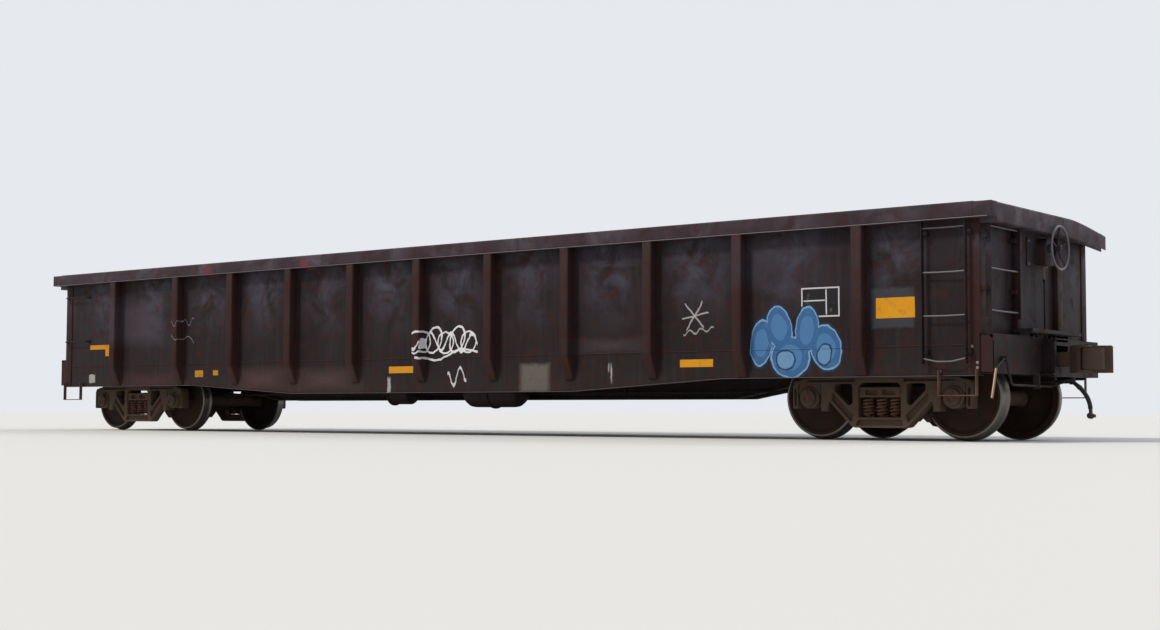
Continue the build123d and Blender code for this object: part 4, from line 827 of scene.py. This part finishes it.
# Bolts of the sill steps: place along the side, distance from it and level above the rail
footBolts = {"size": 0.011, "places": ((7.556, cornerStep, 0.725), (7.984, 0.014, 0.757),
                                       (7.984, cornerStep, 0.812), (7.925, cornerStep, 0.982))}
bm = bmesh.new()
for x, distance, z in footBolts["places"]:
    addBolt(bm, (x, -sidePlane - distance, railTop + z), (0, -1, 0), footBolts["size"])
addHalfTurn(bm)
makePiece(bm, "foot_bolts", [zincBolt])
castCopy("sill_steps", stepSteel, 0.002, 1)
print("ladders, irons, steps and levers made")

# Hand brake; the wheel's profile and spoke points are (radius, place)
handBrake = {"x": 8.262, "y": 0.1, "z": railTop + 2.12, "radius": 0.255, "rim": 0.014, "spokes": 5,
             "spoke": ((0.02, -0.03), (0.12, -0.026), (0.241, 0.0)), "spokeRadius": 0.01,
             "spokeCorner": 0.02,
             "hub": [(0.0005, 0.02), (0.022, 0.02), (0.034, 0.006), (0.036, -0.05), (0.018, -0.056),
                     (0.016, -0.1), (0.0005, -0.1)]}
bm = bmesh.new()
at = facing((handBrake["x"], handBrake["y"], handBrake["z"]), (1, 0, 0))
# The rim takes the pale grey as a painted highlight
latheInto(bm, roundSection(handBrake["radius"] - handBrake["rim"], handBrake["rim"], 8), 64, at, True, 1)
latheInto(bm, handBrake["hub"], 24, at)
for index in range(handBrake["spokes"]):
    degrees = 90 + 360 / handBrake["spokes"] * index
    addBar(bm, [at @ polar(radius, degrees, place) for radius, place in handBrake["spoke"]],
           handBrake["spokeRadius"], handBrake["spokeCorner"])
makePiece(bm, "brake_wheel_round", [brakeEnamel, wornAndHighlightSteel], "brake_wheel")

# The rod's upper end hangs in a chain from the gear case; the clevis joins them
chain = {"foot": Vector((endPlane + 0.065, handBrake["y"], railTop + 1.765)), "high": railTop + 1.94,
         "links": 7, "radius": 0.011, "wire": 0.0035, "stretch": 1.5, "rod": 0.011,
         "clevis": (Vector((-0.016, -0.012, -0.02)), Vector((0.016, 0.012, 0.012)))}
bm = bmesh.new()
foot = chain["foot"]
addBar(bm, [(foot.x, foot.y, floorUnder), foot], chain["rod"])
addBlock(bm, *[foot + corner for corner in chain["clevis"]])
linkPitch = (chain["high"] - foot.z) / chain["links"]
for index in range(chain["links"]):
    at = (Matrix.Translation(foot + Vector((0, 0, (index + 0.5) * linkPitch))) @
          Matrix.Diagonal((1, 1, chain["stretch"], 1)) @
          Matrix.Rotation(math.pi / 2 * (index % 2), 4, "Z") @ Matrix.Rotation(math.pi / 2, 4, "X"))
    latheInto(bm, roundSection(chain["radius"], chain["wire"], 6), 14, at, True, 1)
makePiece(bm, "hand_brake_rod_round", [brakeEnamel, leverBright], "hand_brake_rod")
castCopy("brake_gear_housing", brakeEnamel, 0.006)
# Bolts of the hand brake's plate and of the platform under it
brakeBolts = {"plateY": (-0.2, 0.3), "plateZ": (1.94, 2.19), "plateSize": 0.011,
              "platformX": endPlane + 0.11, "platformY": (-0.72, -0.32, 0.18, 0.53), "platformSize": 0.009}
bm = bmesh.new()
for y in brakeBolts["plateY"]:
    for z in brakeBolts["plateZ"]:
        addBolt(bm, (endPlane + cornerStep, y, railTop + z), (1, 0, 0), brakeBolts["plateSize"])
for y in brakeBolts["platformY"]:
    addBolt(bm, (brakeBolts["platformX"], y, floorLevel - 0.001), (0, 0, 1), brakeBolts["platformSize"])
makePiece(bm, "hand_brake_bolts", [zincBolt])
print("hand brake made")

# Air brake gear under the floor
drums = {
    "air_reservoir": {"x": 0.59, "z": railTop + 0.547, "straps": (-0.245, 0.245), "profile": mirrored([
        (0.0005, -0.49), (0.09, -0.486), (0.16, -0.455), (0.192, -0.4), (0.2, -0.34), (0.2, -0.016),
        (0.219, -0.014)])},
    "brake_cylinder": {"x": -1.2, "z": railTop + 0.539, "straps": (0.072, 0.168), "profile": [
        (0.0005, -0.39), (0.02, -0.39), (0.02, -0.24), (0.05, -0.24), (0.075, -0.2), (0.148, -0.134),
        (0.168, -0.132), (0.168, -0.108), (0.15, -0.106), (0.15, 0.205), (0.14, 0.225), (0.11, 0.238),
        (0.0005, 0.24)]},
}
strap = {"half": 0.02, "top": railTop + 1.0395, "under": railTop + 0.9995, "barEnds": (-0.98, -0.177),
         "centre": -0.62, "postHalf": 0.04, "postFoot": 0.08, "lap": 0.002}
for node, drum in drums.items():
    bm = bmesh.new()
    latheInto(bm, drum["profile"], 40, facing((drum["x"], strap["centre"], drum["z"]), (1, 0, 0)))
    for x in (drum["x"] + shift for shift in drum["straps"]):
        near, far = x - strap["half"], x + strap["half"]
        addBlock(bm, (near, strap["barEnds"][0], strap["under"]), (far, strap["barEnds"][1], strap["top"]))
        addBlock(bm, (near, strap["centre"] - strap["postHalf"], drum["z"] + strap["postFoot"]),
                 (far, strap["centre"] + strap["postHalf"], strap["under"] + strap["lap"]))
    makePiece(bm, node + "_round", [brakeEnamel], node)
print("air brake gear made")

# Bogies; each wire is (radius of the coil, radius of the wire, turns), and minus turns wind the other way
coil = {"wires": ((0.0535, 0.0125, 5.2), (0.038, 0.009, -7.0)), "low": railTop + 0.234,
        "high": railTop + 0.456, "pitch": 0.16768, "steps": 20}
bearing = {
    "cup": mirrored([(0.0785, -0.085), (0.112, -0.085), (0.118, -0.078), (0.126, -0.07), (0.126, -0.03),
                     (0.121, -0.025)]),
    "adapter": [(-0.14, 0.04), (-0.1255, 0.04), (-0.118, 0.06), (-0.085, 0.098), (-0.045, 0.1205),
                (0, 0.1275), (0.045, 0.1205), (0.085, 0.098), (0.118, 0.06), (0.1255, 0.04),
                (0.14, 0.04), (0.14, 0.138), (0.12, 0.158), (-0.12, 0.158), (-0.14, 0.138)],
    "adapterHalf": 0.065,
}


def addCoil(target, place, radius, wire, turns):
    bm = bmesh.new()
    bmesh.ops.create_circle(bm, segments=8, radius=wire, matrix=Matrix.Translation((radius, 0, wire)) @
                            Matrix.Rotation(math.pi / 2, 4, "X"))
    steps = int(abs(turns) * coil["steps"])
    rise = coil["high"] - coil["low"] - 2 * wire
    bmesh.ops.spin(bm, geom=bm.verts[:] + bm.edges[:], cent=(0, 0, 0), axis=(0, 0, 1),
                   dvec=(0, 0, rise / steps), angle=2 * math.pi * turns, steps=steps)
    bmesh.ops.holes_fill(bm, edges=[e for e in bm.edges if e.is_boundary], sides=0)
    joinInto(target, bm, Matrix.Translation(place))


for bogie in ("bogie_a", "bogie_b"):
    castCopy(bogie + "_side_frames", castSteel, 0.009)
    castCopy(bogie + "_bolster", castSteel, 0.007)
    castCopy(bogie + "_brake_beams", castSteel, 0.004, 1)
for name, centreX in bogiePlace.items():
    bm = bmesh.new()
    for side in (1, -1):
        for column in (-1, 0, 1):
            place = (centreX + column * coil["pitch"], side * bearingY, coil["low"])
            for wire in coil["wires"]:
                addCoil(bm, place, *wire)
    makePiece(bm, "bogie_" + name + "_coil_springs", [springSteel], "bogie_" + name + "_springs")
for name, centreX in bogiePlace.items():
    bm = bmesh.new()
    for side in (1, -1):
        for end in (1, -1):
            centre = Vector((centreX + end * halfBase, side * bearingY, axleLevel))
            latheInto(bm, bearing["cup"], 40, facing(centre, (0, 1, 0)), True)
            addSlab(bm, bearing["adapter"], 2 * bearing["adapterHalf"],
                    centre - Vector((0, bearing["adapterHalf"], 0)))
    makePiece(bm, "bogie_" + name + "_bearing_cups", [castSteel], "bogie_" + name + "_bearings")
print("bogie castings, springs and bearings made")

# Wheelsets: profile points are radius and distance from the flange's back face
wheelLook = {
    "backFace": 0.678,
    "plate": [(0.105, -0.0165), (0.142, -0.0165), (0.148, -0.01), (0.15, 0.02), (0.175, 0.045),
              (0.23, 0.056), (0.3, 0.06), (0.35, 0.054), (0.383, 0.038), (0.392, 0.02), (0.395, 0.004),
              (0.399, 0.0), (0.464, 0.0)],
    "tread": [(0.464, 0.0), (0.472, 0.0), (0.48, 0.005), (0.4824, 0.012), (0.48, 0.02), (0.468, 0.03),
              (0.46, 0.038), (0.457, 0.05), (0.454, 0.1), (0.452, 0.136), (0.445, 0.1435),
              (0.438, 0.145), (0.427, 0.145)],
    "rim": [(0.427, 0.145), (0.399, 0.145), (0.394, 0.141), (0.388, 0.126), (0.378, 0.112), (0.35, 0.1),
            (0.3, 0.091), (0.23, 0.086), (0.175, 0.082), (0.152, 0.09), (0.149, 0.12), (0.148, 0.155),
            (0.142, 0.1615), (0.105, 0.1615)],
}
axleLook = {
    "line": mirrored([(0.078, -1.101), (0.078, -0.91), (0.105, -0.8395), (0.105, -0.6615),
                      (0.089, -0.6015)]),
    "cap": [(0.0775, -0.031), (0.088, -0.03), (0.092, -0.026), (0.092, -0.006), (0.088, -0.001),
            (0.06, 0.0), (0.055, -0.006), (0.03, -0.006), (0.026, 0.0), (0.0005, 0.0)],
    "capFace": 1.13, "bolts": 3, "boltRadius": 0.058, "boltSeat": -0.006, "boltSize": 0.016,
}
for number, (bogie, end) in enumerate((("a", -1), ("a", 1), ("b", -1), ("b", 1)), 1):
    x = bogiePlace[bogie] + end * halfBase
    body = "wheelset_%d" % number
    bm = bmesh.new()
    for side in (1, -1):
        at = facing((x, side * wheelLook["backFace"], axleLevel), (0, side, 0))
        for key, index in (("plate", 0), ("tread", 1), ("rim", 0)):
            latheInto(bm, wheelLook[key], 96, at, index=index)
    bmesh.ops.remove_doubles(bm, verts=bm.verts, dist=0.0002)
    makePiece(bm, body + "_turned_wheels", [wheelSteel, treadSteel], body + "_wheels")
    bm = bmesh.new()
    latheInto(bm, axleLook["line"], 40, facing((x, 0, axleLevel), (0, 1, 0)))
    for side in (1, -1):
        at = facing((x, side * axleLook["capFace"], axleLevel), (0, side, 0))
        latheInto(bm, axleLook["cap"], 36, at)
        for bolt in range(axleLook["bolts"]):
            seat = polar(axleLook["boltRadius"], 90 + 360 / axleLook["bolts"] * bolt, axleLook["boltSeat"])
            addBolt(bm, at @ seat, (0, side, 0), axleLook["boltSize"])
    makePiece(bm, body + "_turned_axle", [castSteel], body + "_axle")
print("wheelsets turned")

# Couplers
for name in ("a", "b"):
    castCopy("coupler_" + name, castSteel, 0.01, 3)
    castCopy("knuckle_" + name, castSteel, 0.01, 3)

# Air hoses: the CAD's route points, in metres, and the clamp's section as (radius, place)
hoseLook = {"diameter": 0.05, "clampPlace": 0.03,
            "clamp": [(0.025, -0.016), (0.0285, -0.016), (0.0285, 0.016), (0.025, 0.016)]}
route = [(8.34739, 0.33, 0.61719), (8.48145, 0.33, 0.50471), (8.49145, 0.325, 0.3604)]
for name, turn in (("a", -1), ("b", 1)):
    points = [Vector((turn * x, turn * y, z)) for x, y, z in route]
    hose = layCurve("air_hose_line_" + name, points, hoseLook["diameter"] / 2, 6, 16)
    hose.data.materials.append(hoseRubber)
    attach(hose, "body")
    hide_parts("air_hose_" + name)
    glad = castCopy("gladhand_" + name, gladCasting, 0.006, 3)
    bm = bmesh.new()
    ahead = (points[1] - points[0]).normalized()
    latheInto(bm, hoseLook["clamp"], 20, facing(points[0] + ahead * hoseLook["clampPlace"], ahead), True)
    makePiece(bm, "hose_clamp_" + name, [gladCasting])
print("couplers and hoses made")
